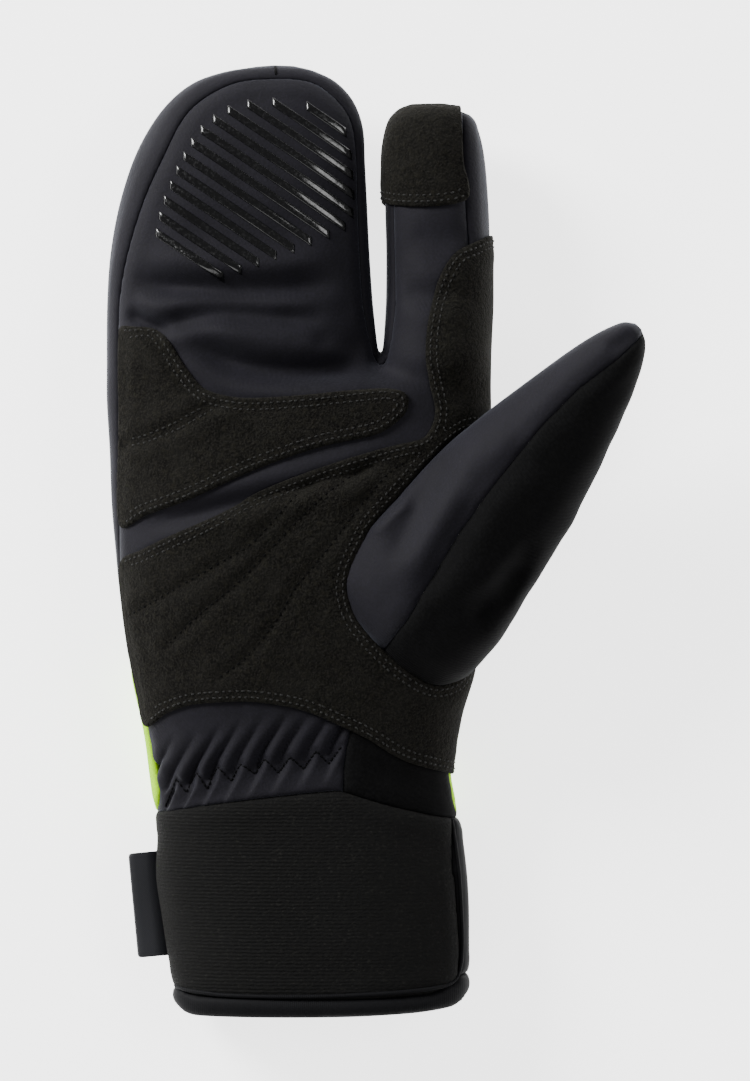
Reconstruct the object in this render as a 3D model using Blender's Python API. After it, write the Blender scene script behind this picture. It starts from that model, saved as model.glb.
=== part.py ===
"""Lobster claw mitt for the right hand, lying on its back with the palm up.

One compartment holds three fingers, one holds the index finger and one the thumb.
Every panel is cut from one surface: a trunk that forks into two finger tubes, and a thumb
tube that grows out of its side. Metres, +Z up, +Y towards the fingertips, +X to the thumb.
"""

from collections import namedtuple
from math import ceil, cos, pi, radians, sin

import bpy
import numpy as np
from mathutils import Vector
from mathutils.bvhtree import BVHTree

# Driving sizes of the whole mitt
LENGTH = 0.2844
PALM_WIDTH = 0.114
PALM_DEPTH = 0.042
THUMB_LENGTH = 0.1262
THUMB_WIDTH = 0.0535
THUMB_DEPTH = 0.038
THUMB_LEAN = radians(38.9)

# Cloth thicknesses and the clearance left at every seam
SHELL_WALL = 0.0022
CUFF_WALL = 0.0026
HEM_WALL = 0.0034
SUEDE_WALL = 0.0010
GRIP_WALL = 0.0006
SEAM_GAP = 0.0006
LAYER_GAP = 0.0003
# A rim point whose two edges pull it inwards by less than this share stays where it is.
LEAST_PULL = 0.4

# Shape of the tubes
EQUATOR = 0.46
PALM_FULLNESS = 2.35
BACK_FULLNESS = 2.9
CROTCH = 0.6925
FORK_BLEND = 0.040
FORK_ANGLE = radians(14)
FORK_GAP = 0.0009
TIP_ROW_STEPS = 2
# How far down the finger tube's side its band reaches, as the sine of the angle round it
BAND_LOW = -0.45

# Small named parts
LABEL_LENGTH = 0.0315
LABEL_REACH = 0.0072
LABEL_THICKNESS = 0.0011
LABEL_ALONG = 0.1165
LABEL_LEAN = radians(5.3)
LABEL_BAND = 0.004
STRIPE_COUNT = 13
STRIPE_WIDTH = 0.0024
STRIPE_PITCH = 0.0047
STRIPE_SLOPE = radians(-34)
STRIPE_STEP = 0.0054
STRIPE_LEAST_STEPS = 3
GATHER_COUNT = 9
GATHER_HEIGHT = 0.0016
EDGE_WRAP = 0.010

# Outlines of the sections. along is a share of LENGTH from the hem, left and right are
# shares of PALM_WIDTH from the centre line, palm and back are shares of PALM_DEPTH.
Section = namedtuple("Section", "along left right palm back")
TRUNK = (
    Section(-0.020, -0.318, 0.444, 0.74, -0.03),
    Section(0.030, -0.334, 0.444, 0.76, -0.03),
    Section(0.075, -0.354, 0.445, 0.78, -0.03),
    Section(0.140, -0.377, 0.442, 0.80, -0.03),
    Section(0.195, -0.378, 0.424, 0.82, -0.03),
    Section(0.255, -0.394, 0.398, 0.84, -0.03),
    Section(0.310, -0.415, 0.416, 0.90, -0.03),
    Section(0.365, -0.445, 0.452, 0.96, -0.03),
    Section(0.437, -0.470, 0.470, 1.01, -0.03),
    Section(0.510, -0.487, 0.482, 1.03, -0.03),
    Section(0.590, -0.500, 0.491, 1.00, -0.03),
    Section(0.650, -0.508, 0.494, 0.96, -0.03),
    Section(0.700, -0.509, 0.494, 0.94, -0.03),
)
MITT = (
    Section(0.600, -0.501, 0.212, 0.97, -0.03),
    Section(0.660, -0.507, 0.212, 0.94, -0.03),
    Section(0.700, -0.509, 0.207, 0.92, -0.03),
    Section(0.753, -0.507, 0.192, 0.90, -0.01),
    Section(0.797, -0.500, 0.185, 0.90, 0.03),
    Section(0.848, -0.478, 0.179, 0.88, 0.09),
    Section(0.895, -0.442, 0.172, 0.86, 0.16),
    Section(0.933, -0.396, 0.167, 0.82, 0.23),
    Section(0.960, -0.347, 0.145, 0.77, 0.29),
    Section(0.981, -0.283, 0.102, 0.71, 0.35),
    Section(0.993, -0.206, 0.046, 0.65, 0.42),
    Section(0.999, -0.120, -0.010, 0.58, 0.50),
)
INDEX = (
    Section(0.600, 0.213, 0.490, 0.96, -0.03),
    Section(0.660, 0.213, 0.494, 0.92, -0.03),
    Section(0.700, 0.219, 0.496, 0.87, -0.03),
    Section(0.753, 0.229, 0.500, 0.80, -0.01),
    Section(0.800, 0.229, 0.501, 0.77, 0.02),
    Section(0.850, 0.226, 0.499, 0.76, 0.05),
    Section(0.892, 0.226, 0.492, 0.75, 0.09),
    Section(0.918, 0.230, 0.482, 0.74, 0.13),
    Section(0.938, 0.242, 0.466, 0.71, 0.18),
    Section(0.949, 0.262, 0.448, 0.66, 0.25),
    Section(0.9545, 0.290, 0.422, 0.59, 0.33),
)

# The thumb's own sections. along runs from its root, hidden in the palm, to its tip, half is a
# share of THUMB_WIDTH, depth a share of THUMB_DEPTH and rise a share of PALM_DEPTH.
ThumbSection = namedtuple("ThumbSection", "along half depth rise")
THUMB = (
    ThumbSection(0.000, 0.12, 0.12, 0.66),
    ThumbSection(0.020, 0.28, 0.42, 0.69),
    ThumbSection(0.065, 0.42, 0.76, 0.74),
    ThumbSection(0.130, 0.488, 0.90, 0.78),
    ThumbSection(0.240, 0.494, 0.95, 0.82),
    ThumbSection(0.370, 0.450, 0.93, 0.85),
    ThumbSection(0.500, 0.411, 0.88, 0.88),
    ThumbSection(0.630, 0.352, 0.79, 0.92),
    ThumbSection(0.760, 0.275, 0.67, 0.96),
    ThumbSection(0.860, 0.213, 0.56, 0.99),
    ThumbSection(0.930, 0.150, 0.42, 1.01),
    ThumbSection(0.975, 0.088, 0.26, 1.02),
    ThumbSection(0.996, 0.030, 0.08, 1.02),
)
THUMB_ROOT = (0.190, 0.378)
# The long seam on the thumb's upper side, as along and a share of THUMB_WIDTH off its axis
THUMB_SEAM = (
    (0.00, 0.025), (0.12, 0.020), (0.22, -0.018), (0.36, -0.062), (0.50, -0.080),
    (0.67, -0.078), (0.79, -0.050), (0.90, 0.015), (1.00, 0.050),
)

# Outlines seen from above, as shares of PALM_WIDTH and LENGTH
PALM_SEAM = (
    (-0.374, 0.190), (-0.375, 0.235), (-0.386, 0.260), (-0.396, 0.285), (-0.406, 0.310),
    (-0.424, 0.345), (-0.446, 0.390), (-0.471, 0.445), (-0.476, 0.520), (-0.478, 0.640),
    (-0.477, 0.742), (-0.457, 0.794), (-0.413, 0.852), (-0.362, 0.898), (-0.290, 0.951),
    (-0.179, 0.980), (-0.060, 0.986), (0.036, 0.982), (0.108, 0.961), (0.143, 0.937),
    (0.155, 0.900), (0.160, 0.830), (0.172, 0.750), (0.196, 0.702), (0.214, 0.686),
    (0.232, 0.702), (0.247, 0.750), (0.243, 0.850), (0.247, 0.915), (0.262, 0.945),
    (0.300, 0.985), (0.420, 0.985), (0.433, 0.905), (0.440, 0.850), (0.452, 0.780),
    (0.462, 0.700), (0.462, 0.600), (0.448, 0.480), (0.428, 0.360), (0.412, 0.310),
    (0.395, 0.265), (0.406, 0.228), (0.416, 0.190), (0.000, 0.170),
)
KNUCKLE_PATCH = (
    (-0.474, 0.722), (-0.430, 0.725), (-0.372, 0.722), (-0.335, 0.706), (-0.290, 0.678),
    (-0.240, 0.657), (-0.140, 0.648), (0.020, 0.652), (0.130, 0.657), (0.230, 0.660),
    (0.278, 0.655), (0.288, 0.644), (0.274, 0.630), (0.210, 0.612), (0.050, 0.597),
    (-0.134, 0.571), (-0.285, 0.542), (-0.400, 0.526), (-0.474, 0.516), (-0.475, 0.620),
)
PALM_PATCH = (
    (-0.472, 0.478), (-0.415, 0.490), (-0.315, 0.509), (-0.210, 0.528), (-0.103, 0.549),
    (0.018, 0.569), (0.138, 0.586), (0.258, 0.600), (0.325, 0.607), (0.352, 0.622),
    (0.358, 0.640), (0.340, 0.668), (0.330, 0.690), (0.334, 0.722), (0.352, 0.756),
    (0.378, 0.784), (0.410, 0.802), (0.460, 0.812), (0.560, 0.822), (0.600, 0.600),
    (0.560, 0.360), (0.470, 0.250), (0.394, 0.256), (0.300, 0.266), (0.245, 0.276),
    (0.183, 0.292), (0.096, 0.309), (0.010, 0.323), (-0.080, 0.330), (-0.160, 0.332),
    (-0.280, 0.328), (-0.350, 0.318), (-0.408, 0.304), (-0.428, 0.335), (-0.452, 0.385),
    (-0.470, 0.440),
)
FINGERTIP_PATCH = (
    (0.246, 0.856), (0.246, 0.915), (0.262, 0.948), (0.300, 1.000), (0.410, 1.000),
    (0.427, 0.948), (0.432, 0.900), (0.437, 0.856),
)
CUFF_TOP = (
    (-0.600, 0.204), (-0.376, 0.214), (-0.240, 0.223), (-0.115, 0.230), (0.015, 0.236),
    (0.096, 0.2385), (0.122, 0.237), (0.183, 0.229), (0.276, 0.219), (0.397, 0.209),
    (0.600, 0.200),
)
HEM_TOP = (
    (-0.600, 0.033), (-0.333, 0.028), (-0.280, 0.022), (0.100, 0.019), (0.340, 0.024),
    (0.405, 0.034), (0.430, 0.042), (0.600, 0.046),
)
HEM_END = (
    (-0.400, 0.024), (-0.330, 0.010), (-0.300, 0.002), (-0.260, 0.000), (0.100, 0.0005),
    (0.300, 0.004), (0.400, 0.009), (0.428, 0.014), (0.443, 0.021), (0.460, 0.026),
)
CUFF_EDGE = (
    (0.421, 0.000), (0.422, 0.045), (0.425, 0.070), (0.417, 0.118), (0.412, 0.144),
    (0.406, 0.155), (0.406, 0.215), (0.406, 0.300),
)
BACK_YOKE = (
    (-0.600, 0.370), (-0.450, 0.368), (-0.300, 0.405), (-0.050, 0.440), (0.180, 0.405),
    (0.330, 0.320), (0.420, 0.258), (0.600, 0.250),
)
KNUCKLE_SEAM = ((-0.600, 0.722), (0.000, 0.724), (0.600, 0.722))
FINGER_FORK = ((0.213, 0.600), (0.213, 0.800), (0.205, 1.100))
SIDE_PANEL_SEAM = ((0.116, 0.240), (0.122, 0.270), (0.135, 0.301), (0.150, 0.330))
WRIST_TOP = (
    (-0.600, 0.322), (-0.420, 0.322), (-0.350, 0.330), (-0.280, 0.338), (-0.160, 0.342),
    (-0.080, 0.340), (0.010, 0.333), (0.096, 0.320), (0.183, 0.302), (0.245, 0.287),
    (0.300, 0.277), (0.394, 0.268), (0.600, 0.262),
)

# Folds pressed into the palm side. Each runs from one end to the other, as shares of
# PALM_WIDTH and LENGTH, spread is its half width and depth how far it sinks, in metres.
Fold = namedtuple("Fold", "x0 y0 x1 y1 spread depth")
FOLDS = (
    Fold(-0.46, 0.772, -0.02, 0.764, 0.0040, 0.0012),
    Fold(-0.44, 0.735, 0.10, 0.738, 0.0034, 0.0009),
    Fold(-0.28, 0.704, 0.17, 0.672, 0.0042, 0.0016),
    Fold(0.02, 0.700, 0.20, 0.686, 0.0028, 0.0008),
    Fold(-0.45, 0.498, 0.30, 0.606, 0.0026, 0.0009),
)
# Folds along the thumb, as shares of THUMB_LENGTH from its root and of its half width
THUMB_FOLDS = (
    Fold(-0.62, 0.10, -0.80, 0.36, 0.0030, 0.0016),
    Fold(-0.20, 0.16, -0.42, 0.44, 0.0040, 0.0012),
    Fold(0.35, 0.10, 0.20, 0.34, 0.0040, 0.0009),
)

Surface = namedtuple("Surface", "points triangles side normals")


def clear_scene():
    for old in list(bpy.data.objects):
        bpy.data.objects.remove(old, do_unlink=True)


def finish(name, colour, roughness):
    """A cloth finish for one group of panels."""
    made = bpy.data.materials.new(name)
    made.use_nodes = True
    shader = made.node_tree.nodes["Principled BSDF"]
    shader.inputs["Base Color"].default_value = (*colour, 1.0)
    shader.inputs["Roughness"].default_value = roughness
    shader.inputs["Metallic"].default_value = 0.0
    return made


def smooth(share):
    share = np.clip(share, 0.0, 1.0)
    return share * share * (3.0 - 2.0 * share)


def spline_rows(table, step, start=None, end=None):
    """Rows along a table of sections, on a smooth curve through it and about step apart."""
    rows = np.array(table, float)
    spans = np.sqrt(np.linalg.norm(np.diff(rows, axis=0), axis=1))
    knots = np.concatenate([[0.0], np.cumsum(spans)])
    slopes = np.gradient(rows, knots, axis=0)
    made = []
    for i, span in enumerate(np.diff(knots)):
        count = max(1, ceil((rows[i + 1, 0] - rows[i, 0]) / step))
        if spans[i] < 0.20:
            count = max(count, TIP_ROW_STEPS)
        for t in np.arange(count) / count:
            h = smooth(t)
            made.append(
                rows[i] * (1 - h) + rows[i + 1] * h
                + span * (t * (1 - t) ** 2 * slopes[i] - t * t * (1 - t) * slopes[i + 1])
            )
    made.append(rows[-1])
    made = np.array(made)
    if start is not None:
        made = made[made[:, 0] > start + step / 4]
        made = np.vstack([at_along(table, start), made])
    if end is not None:
        made = made[made[:, 0] < end - step / 4]
        made = np.vstack([made, at_along(table, end)])
    return made


def at_along(table, along):
    """The section at one place along a table, read from the same smooth curve."""
    fine = spline_rows(table, 0.004)
    return np.array([np.interp(along, fine[:, 0], column) for column in fine.T])


def section_points(row, angles):
    """Points round one section in metres. Angle 0 is the right edge, a quarter turn the palm."""
    along, left, right, palm, back = row
    centre = (left + right) / 2 * PALM_WIDTH
    half = (right - left) / 2 * PALM_WIDTH
    palm, back = palm * PALM_DEPTH, back * PALM_DEPTH
    equator = back + EQUATOR * (palm - back)
    c, s = np.cos(angles), np.sin(angles)
    fullness = np.where(s >= 0, PALM_FULLNESS, BACK_FULLNESS)
    x = centre + half * np.sign(c) * np.abs(c) ** (2 / fullness)
    reach = np.where(s >= 0, palm - equator, equator - back)
    z = equator + reach * np.sign(s) * np.abs(s) ** (2 / fullness)
    y = np.full_like(x, along * LENGTH)
    return np.stack([x, y, np.maximum(z, 0.0)], axis=1)


def fork_rings(cells):
    """The rings of the trunk, which part into two lobes as they near the fork."""
    palm_index = np.linspace(0.0, 1.0, cells.index + 1)
    palm_mitt = np.linspace(0.0, 1.0, cells.mitt + 1)[1:]
    rings, sides = [], []
    for row in spline_rows(TRUNK, cells.step, end=CROTCH):
        along, left, right = row[:3]
        split = at_along(MITT, max(along, MITT[0].along))[2] + 0.003
        middle, half = (left + right) / 2, (right - left) / 2
        turn = np.arccos(((split - middle) / half) ** (PALM_FULLNESS / 2))
        upper = np.concatenate([palm_index * turn, turn + palm_mitt * (pi - turn)])
        angles = np.concatenate([upper, -upper[-2:0:-1]])
        ring = section_points(row, angles)
        sines = np.sin(angles)
        share = smooth((along - (CROTCH - FORK_BLEND)) / FORK_BLEND)
        if share > 0:
            lobes, lobe_sines = lobe_ring(along, cells)
            ring = ring * (1 - share) + lobes * share
            sines = sines * (1 - share) + lobe_sines * share
        rings.append(ring)
        sides.append(sines)
    return rings, sides


def lobe_ring(along, cells):
    """One ring round both finger tubes, with a shared point where they meet on each face."""
    mitt = section_points(at_along(MITT, along), mitt_angles(cells))
    index = section_points(at_along(INDEX, along), index_angles(cells))
    upper = index[: cells.index + 1].copy()
    upper[-1] = (index[cells.index] + mitt[0]) / 2
    lower = index[cells.index + cells.web:].copy()
    lower[0] = (lower[0] + mitt[2 * cells.mitt]) / 2
    index_turns, mitt_turns = index_angles(cells), mitt_angles(cells)
    turns = np.concatenate([index_turns[: cells.index + 1], mitt_turns[1: 2 * cells.mitt],
                            index_turns[cells.index + cells.web:]])
    return np.vstack([upper, mitt[1: 2 * cells.mitt], lower]), np.sin(turns)


def mitt_angles(cells):
    """From the fork on the palm, round the outer edge to the fork on the back, then the web."""
    outer = np.linspace(FORK_ANGLE, 2 * pi - FORK_ANGLE, 2 * cells.mitt + 1)
    web = np.linspace(-FORK_ANGLE, FORK_ANGLE, cells.web + 1)[1:-1]
    return np.concatenate([np.where(outer > pi, outer - 2 * pi, outer), web])


def index_angles(cells):
    """From the thumb side over the palm to the fork, down the web, and back underneath."""
    palm = np.linspace(0.0, pi - FORK_ANGLE, cells.index + 1)
    web = np.linspace(pi - FORK_ANGLE, pi + FORK_ANGLE, cells.web + 1)[1:-1]
    back = np.linspace(pi + FORK_ANGLE, 2 * pi, cells.index + 1)[:-1]
    angles = np.concatenate([palm, web, back])
    return np.where(angles > pi, angles - 2 * pi, angles)


Cells = namedtuple("Cells", "mitt index web step")


def hand_surface(cells):
    """The outside of the trunk and both finger tubes, open at the hem."""
    points, side, quads, fans = [], [], [], []

    def add(ring, sines):
        start = sum(len(p) for p in points)
        points.append(ring)
        side.append(sines)
        return np.arange(start, start + len(ring))

    def join(low, high):
        for a in range(len(low)):
            b = (a + 1) % len(low)
            quads.append((low[a], low[b], high[b], high[a]))

    rings, sides = fork_rings(cells)
    trunk = [add(ring, sines) for ring, sines in zip(rings, sides)]
    for low, high in zip(trunk, trunk[1:]):
        join(low, high)
    last = trunk[-1]
    tubes = []
    for table, angles in ((MITT, mitt_angles(cells)), (INDEX, index_angles(cells))):
        start = CROTCH + FORK_GAP / LENGTH
        rows = spline_rows(table, cells.step, start=start)
        tubes.append([add(section_points(row, angles), np.sin(angles)) for row in rows])
        for low, high in zip(tubes[-1], tubes[-1][1:]):
            join(low, high)
        tip = points[-1].mean(axis=0)[None]
        tip[0, 1] += FORK_GAP / 2
        end = add(tip, np.zeros(1))[0]
        ring = tubes[-1][-1]
        fans += [(ring[a], ring[(a + 1) % len(ring)], end) for a in range(len(ring))]
    mitt, index = tubes[0][0], tubes[1][0]
    k, m, w = cells.index, cells.mitt, cells.web
    outer_mitt = last[k: k + 2 * m + 1]
    for a in range(2 * m):
        quads.append((outer_mitt[a], outer_mitt[a + 1], mitt[a + 1], mitt[a]))
    around = np.concatenate([last[k + 2 * m:], last[: k + 1]])
    index_outer = np.concatenate([index[k + w:], index[: k + 1]])
    for a in range(2 * k):
        quads.append((around[a], around[a + 1], index_outer[a + 1], index_outer[a]))
    mitt_web = np.concatenate([mitt[2 * m:], mitt[:1]])
    index_web = index[k: k + w + 1][::-1]
    for a in range(w):
        quads.append((mitt_web[a], index_web[a], index_web[a + 1], mitt_web[a + 1]))
    fans.append((last[k], mitt[0], index[k]))
    fans.append((last[k + 2 * m], index[k + w], mitt[2 * m]))
    triangles = split_quads(quads, fans)
    side = np.concatenate(side)
    points = fold_palm(np.vstack(points), side)
    return Surface(points, triangles, side, vertex_normals(points, triangles))


def split_quads(quads, triangles):
    quads = np.array(quads)
    halves = [quads[:, [0, 2, 1]], quads[:, [0, 3, 2]]]
    if triangles:
        halves.append(np.array(triangles)[:, ::-1])
    return np.vstack(halves)


def line_dent(across, along, fold, ends):
    """How deep a fold is at each point: full on its line, fading to both ends."""
    a, b = np.array(ends[0]), np.array(ends[1])
    run = b - a
    offset = np.stack([across - a[0], along - a[1]], axis=1)
    t = offset @ run / (run @ run)
    distance = np.linalg.norm(offset - np.clip(t, 0, 1)[:, None] * run, axis=1)
    ease = smooth(np.minimum(t, 1 - t) * 3.0 + 0.4)
    return fold.depth * np.exp(-((distance / fold.spread) ** 2)) * ease


def fold_palm(points, side):
    """The points with the folds and the wrist gathers sunk into the palm side."""
    x, y = points[:, 0], points[:, 1]
    sink = np.zeros(len(points))
    for fold in FOLDS:
        ends = [(fold.x0 * PALM_WIDTH, fold.y0 * LENGTH), (fold.x1 * PALM_WIDTH, fold.y1 * LENGTH)]
        sink += line_dent(x, y, fold, ends)
    sink += gathers(x / PALM_WIDTH, y / LENGTH)
    return points - np.outer(smooth((side - 0.25) / 0.5) * sink, (0.0, 0.0, 1.0))


def gathers(across, along):
    """Slanting puckers that an elastic draws up along the wrist."""
    elastic = np.interp(across, (-0.36, 0.10), (0.233, 0.272))
    up = along - elastic
    phase = (across - 0.9 * up + 0.37) / 0.48 * GATHER_COUNT
    wave = 0.5 - 0.5 * np.cos(2 * pi * phase)
    height = np.where(up > 0, 1 - smooth(up / 0.075), 1 - smooth(-up / 0.030))
    inside = smooth((across + 0.39) / 0.04) * (1 - smooth((across - 0.085) / 0.03))
    return GATHER_HEIGHT * wave * height * inside


def thumb_surface(cells):
    """The outside of the whole thumb tube, with its root inside the palm."""
    angles = np.linspace(0, 2 * pi, cells.mitt, endpoint=False)
    heading = np.array([sin(THUMB_LEAN), cos(THUMB_LEAN)])
    aside = np.array([heading[1], -heading[0]])
    root = np.array([THUMB_ROOT[0] * PALM_WIDTH, THUMB_ROOT[1] * LENGTH])
    rings, sines = [], []
    for along, half, depth, rise in spline_rows(THUMB, cells.step):
        c, s = np.cos(angles), np.sin(angles)
        across = half * THUMB_WIDTH * np.sign(c) * np.abs(c) ** 0.92
        up = depth * THUMB_DEPTH / 2 * np.sign(s) * np.abs(s) ** 0.92
        plan = root + heading * along * THUMB_LENGTH + across[:, None] * aside
        sink = np.zeros(len(angles))
        for fold in THUMB_FOLDS:
            ends = [(fold.x0 * half * THUMB_WIDTH, fold.y0 * THUMB_LENGTH),
                    (fold.x1 * half * THUMB_WIDTH, fold.y1 * THUMB_LENGTH)]
            place = np.full_like(across, along * THUMB_LENGTH)
            sink += line_dent(across, place, fold, ends) * smooth((s - 0.1) / 0.5)
        z = rise * PALM_DEPTH + up - sink
        rings.append(np.column_stack([plan, z]))
        sines.append(np.column_stack([np.full_like(c, along), across, s]))
    count, ring = len(rings), len(angles)
    quads = []
    for row in range(count - 1):
        for a in range(ring):
            b = (a + 1) % ring
            low, high = row * ring, (row + 1) * ring
            quads.append((low + a, low + b, high + b, high + a))
    points = np.vstack(rings)
    first, last = len(points), len(points) + 1
    points = np.vstack([points, rings[0].mean(axis=0), rings[-1].mean(axis=0)])
    caps = [((a + 1) % ring, a, first) for a in range(ring)]
    top = (count - 1) * ring
    caps += [(top + a, top + (a + 1) % ring, last) for a in range(ring)]
    side = np.vstack([*sines, [[0.0, 0.0, 0.0]], [[1.0, 0.0, 0.0]]])
    triangles = split_quads(quads, caps)
    return Surface(points, triangles, side, vertex_normals(points, triangles))


def curve_points(outline, closed, steps=6):
    """A smooth plan curve in metres through an outline given as shares."""
    scale = np.array([PALM_WIDTH, LENGTH])
    knots = np.array(outline) * scale
    made = []
    count = len(knots)
    for i in range(count if closed else count - 1):
        if closed:
            p0, p1, p2, p3 = (knots[(i + j) % count] for j in (-1, 0, 1, 2))
        else:
            p0, p1, p2, p3 = (knots[min(max(i + j, 0), count - 1)] for j in (-1, 0, 1, 2))
        for t in np.arange(steps) / steps:
            m1, m2 = (p2 - p0) / 2, (p3 - p1) / 2
            limit = np.linalg.norm(p2 - p1)
            m1 = m1 * min(1.0, limit / max(np.linalg.norm(m1), 1e-9))
            m2 = m2 * min(1.0, limit / max(np.linalg.norm(m2), 1e-9))
            h = smooth(t)
            made.append(p1 * (1 - h) + p2 * h + t * (1 - t) ** 2 * m1 - t * t * (1 - t) * m2)
    if not closed:
        made.append(knots[-1])
    return np.array(made)


def inside(points, outline):
    """Distance into a closed plan outline, below zero outside it."""
    curve = curve_points(outline, closed=True)
    a, b = curve, np.roll(curve, -1, axis=0)
    p = points[:, None, :2]
    run = b - a
    t = np.clip(((p - a) * run).sum(2) / (run * run).sum(1), 0, 1)
    distance = np.linalg.norm(p - a - t[..., None] * run, axis=2).min(axis=1)
    low, high = np.minimum(a[:, 1], b[:, 1]), np.maximum(a[:, 1], b[:, 1])
    y = p[..., 1]
    crossing = (y >= low) & (y < high)
    at_x = a[:, 0] + (y - a[:, 1]) / np.where(run[:, 1] == 0, 1e-12, run[:, 1]) * run[:, 0]
    odd = (crossing & (p[..., 0] < at_x)).sum(axis=1) % 2 == 1
    return np.where(odd, distance, -distance)


def above(points, outline):
    """Distance above a plan curve that runs from left to right."""
    curve = curve_points(outline, closed=False)
    return points[:, 1] - np.interp(points[:, 0], curve[:, 0], curve[:, 1])


def right_of(points, outline):
    """Distance to the right of a plan curve that runs up the mitt."""
    curve = curve_points(outline, closed=False)
    return points[:, 0] - np.interp(points[:, 1], curve[:, 1], curve[:, 0])


def over(outline, sign=1):
    """A cut that keeps what is above a plan curve, or below it when sign is -1."""
    return lambda surface: sign * above(surface.points, outline)


def beyond(outline, sign=1):
    """A cut that keeps what is right of a plan curve, or left of it when sign is -1."""
    return lambda surface: sign * right_of(surface.points, outline)


def sewn(surface, *cuts):
    """The surface cut down to one panel, short of each seam by half the seam gap."""
    for cut in cuts:
        surface = clip(surface, cut(surface))
    return drawn_in(surface, SEAM_GAP / 2)


def drawn_in(surface, distance):
    """The panel with its rim moved inwards along the cloth."""
    rim, normals, points = rim_of(surface.triangles), surface.normals, surface.points.copy()
    run = points[rim[:, 1]] - points[rim[:, 0]]
    inward = np.cross(normals[rim[:, 0]] + normals[rim[:, 1]], run)
    inward /= np.maximum(np.linalg.norm(inward, axis=1), 1e-12)[:, None]
    move = np.zeros_like(points)
    np.add.at(move, rim[:, 0], inward)
    np.add.at(move, rim[:, 1], inward)
    length = np.linalg.norm(move, axis=1)
    edge = length > LEAST_PULL
    points[edge] += distance * move[edge] / length[edge, None]
    return surface._replace(points=points)


def palm_side(surface):
    """Rough distance past the widest line, above zero on the palm side."""
    return surface.side * PALM_DEPTH / 2


def clip(surface, field, snap=0.12):
    """Keeps the part of a surface where field, one number a point, is above zero."""
    triangles, value = surface.triangles, np.array(field, float)
    data = np.hstack([surface.points, surface.normals, surface.side.reshape(len(value), -1)])
    ends = np.vstack([triangles[:, [0, 1]], triangles[:, [1, 2]], triangles[:, [2, 0]]])
    for a, b in np.unique(np.sort(ends, axis=1), axis=0):
        if value[a] * value[b] < 0:
            t = value[a] / (value[a] - value[b])
            near, far, share = (a, b, t) if t < 0.5 else (b, a, 1 - t)
            if share < snap:
                data[near] += share * (data[far] - data[near])
                value[near] = 0.0
    rows, kept, cuts = list(data), [], {}

    def cut(a, b):
        key = (min(a, b), max(a, b))
        if key not in cuts:
            t = value[a] / (value[a] - value[b])
            cuts[key] = len(rows)
            rows.append(data[a] + t * (data[b] - data[a]))
        return cuts[key]

    for triangle in triangles:
        if value[triangle].max() <= 0:
            continue
        polygon = []
        for i in range(3):
            a, b = triangle[i], triangle[(i + 1) % 3]
            if value[a] >= 0:
                polygon.append(a)
            if value[a] * value[b] < 0:
                polygon.append(cut(a, b))
        for i in range(1, len(polygon) - 1):
            kept.append((polygon[0], polygon[i], polygon[i + 1]))
    used, index = np.unique(np.array(kept), return_inverse=True)
    rows = np.array(rows)[used]
    side = rows[:, 6] if surface.side.ndim == 1 else rows[:, 6:]
    return Surface(rows[:, :3], index.reshape(-1, 3), side, rows[:, 3:6])


def vertex_normals(points, triangles):
    corners = points[triangles]
    area = np.cross(corners[:, 1] - corners[:, 0], corners[:, 2] - corners[:, 0])
    normals = np.zeros_like(points)
    for i in range(3):
        np.add.at(normals, triangles[:, i], area)
    return normals / np.maximum(np.linalg.norm(normals, axis=1), 1e-12)[:, None]


def lifted(surface, height):
    """The surface moved out along its normals."""
    return surface._replace(points=surface.points + height * surface.normals)


def tree_of(surface):
    return BVHTree.FromPolygons(surface.points.tolist(), surface.triangles.tolist())


def distance_to(tree, points):
    """Signed distance to a closed surface, above zero outside it."""
    found = []
    for p in points:
        place, normal, _, distance = tree.find_nearest(Vector(p))
        found.append(distance if (Vector(p) - place).dot(normal) >= 0 else -distance)
    return np.array(found)


def rim_of(triangles):
    """The edges with a triangle on one side only, in the direction that triangle runs."""
    ends = np.vstack([triangles[:, [0, 1]], triangles[:, [1, 2]], triangles[:, [2, 0]]])
    known = {tuple(e) for e in ends.tolist()}
    return np.array([e for e in ends.tolist() if (e[1], e[0]) not in known])


def cloth(name, surface, wall, material):
    """One sewn panel as its own object: the surface and a copy one wall below it, closed."""
    count, triangles = len(surface.points), surface.triangles
    below = surface.points - wall * surface.normals
    rim = rim_of(triangles)
    sides = [(b, a, a + count, b + count) for a, b in rim]
    faces = triangles.tolist() + (triangles[:, ::-1] + count).tolist() + sides
    return solid_panel(name, np.vstack([surface.points, below]), faces, material)


def solid_panel(name, points, faces, material):
    mesh = bpy.data.meshes.new(name)
    mesh.from_pydata(np.asarray(points).tolist(), [], [tuple(map(int, f)) for f in faces])
    mesh.shade_smooth()
    mesh.materials.append(material)
    panel = bpy.data.objects.new(name, mesh)
    bpy.context.scene.collection.objects.link(panel)
    return panel


def grip_outline(number):
    """The plan corners of one slanting stripe, in metres."""
    run = np.array([cos(STRIPE_SLOPE), sin(STRIPE_SLOPE)])
    across = np.array([-run[1], run[0]])
    top = np.array(GRIP_CORNER) * (PALM_WIDTH, LENGTH)
    line = top - across * (number * STRIPE_PITCH)
    start, end = GRIP_ENDS[number]
    return line, run, across, start * PALM_WIDTH, end * PALM_WIDTH


# The grip print: where its first stripe starts, and how far along its own slope each
# stripe starts and ends from there, as shares of PALM_WIDTH.
GRIP_CORNER = (0.019, 0.9557)
GRIP_ENDS = (
    (0.000, 0.128), (-0.079, 0.173), (-0.131, 0.206), (-0.165, 0.237), (-0.183, 0.262),
    (-0.194, 0.264), (-0.196, 0.242), (-0.192, 0.213), (-0.186, 0.187), (-0.178, 0.159),
    (-0.170, 0.132), (-0.157, 0.106), (-0.140, 0.078),
)


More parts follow.
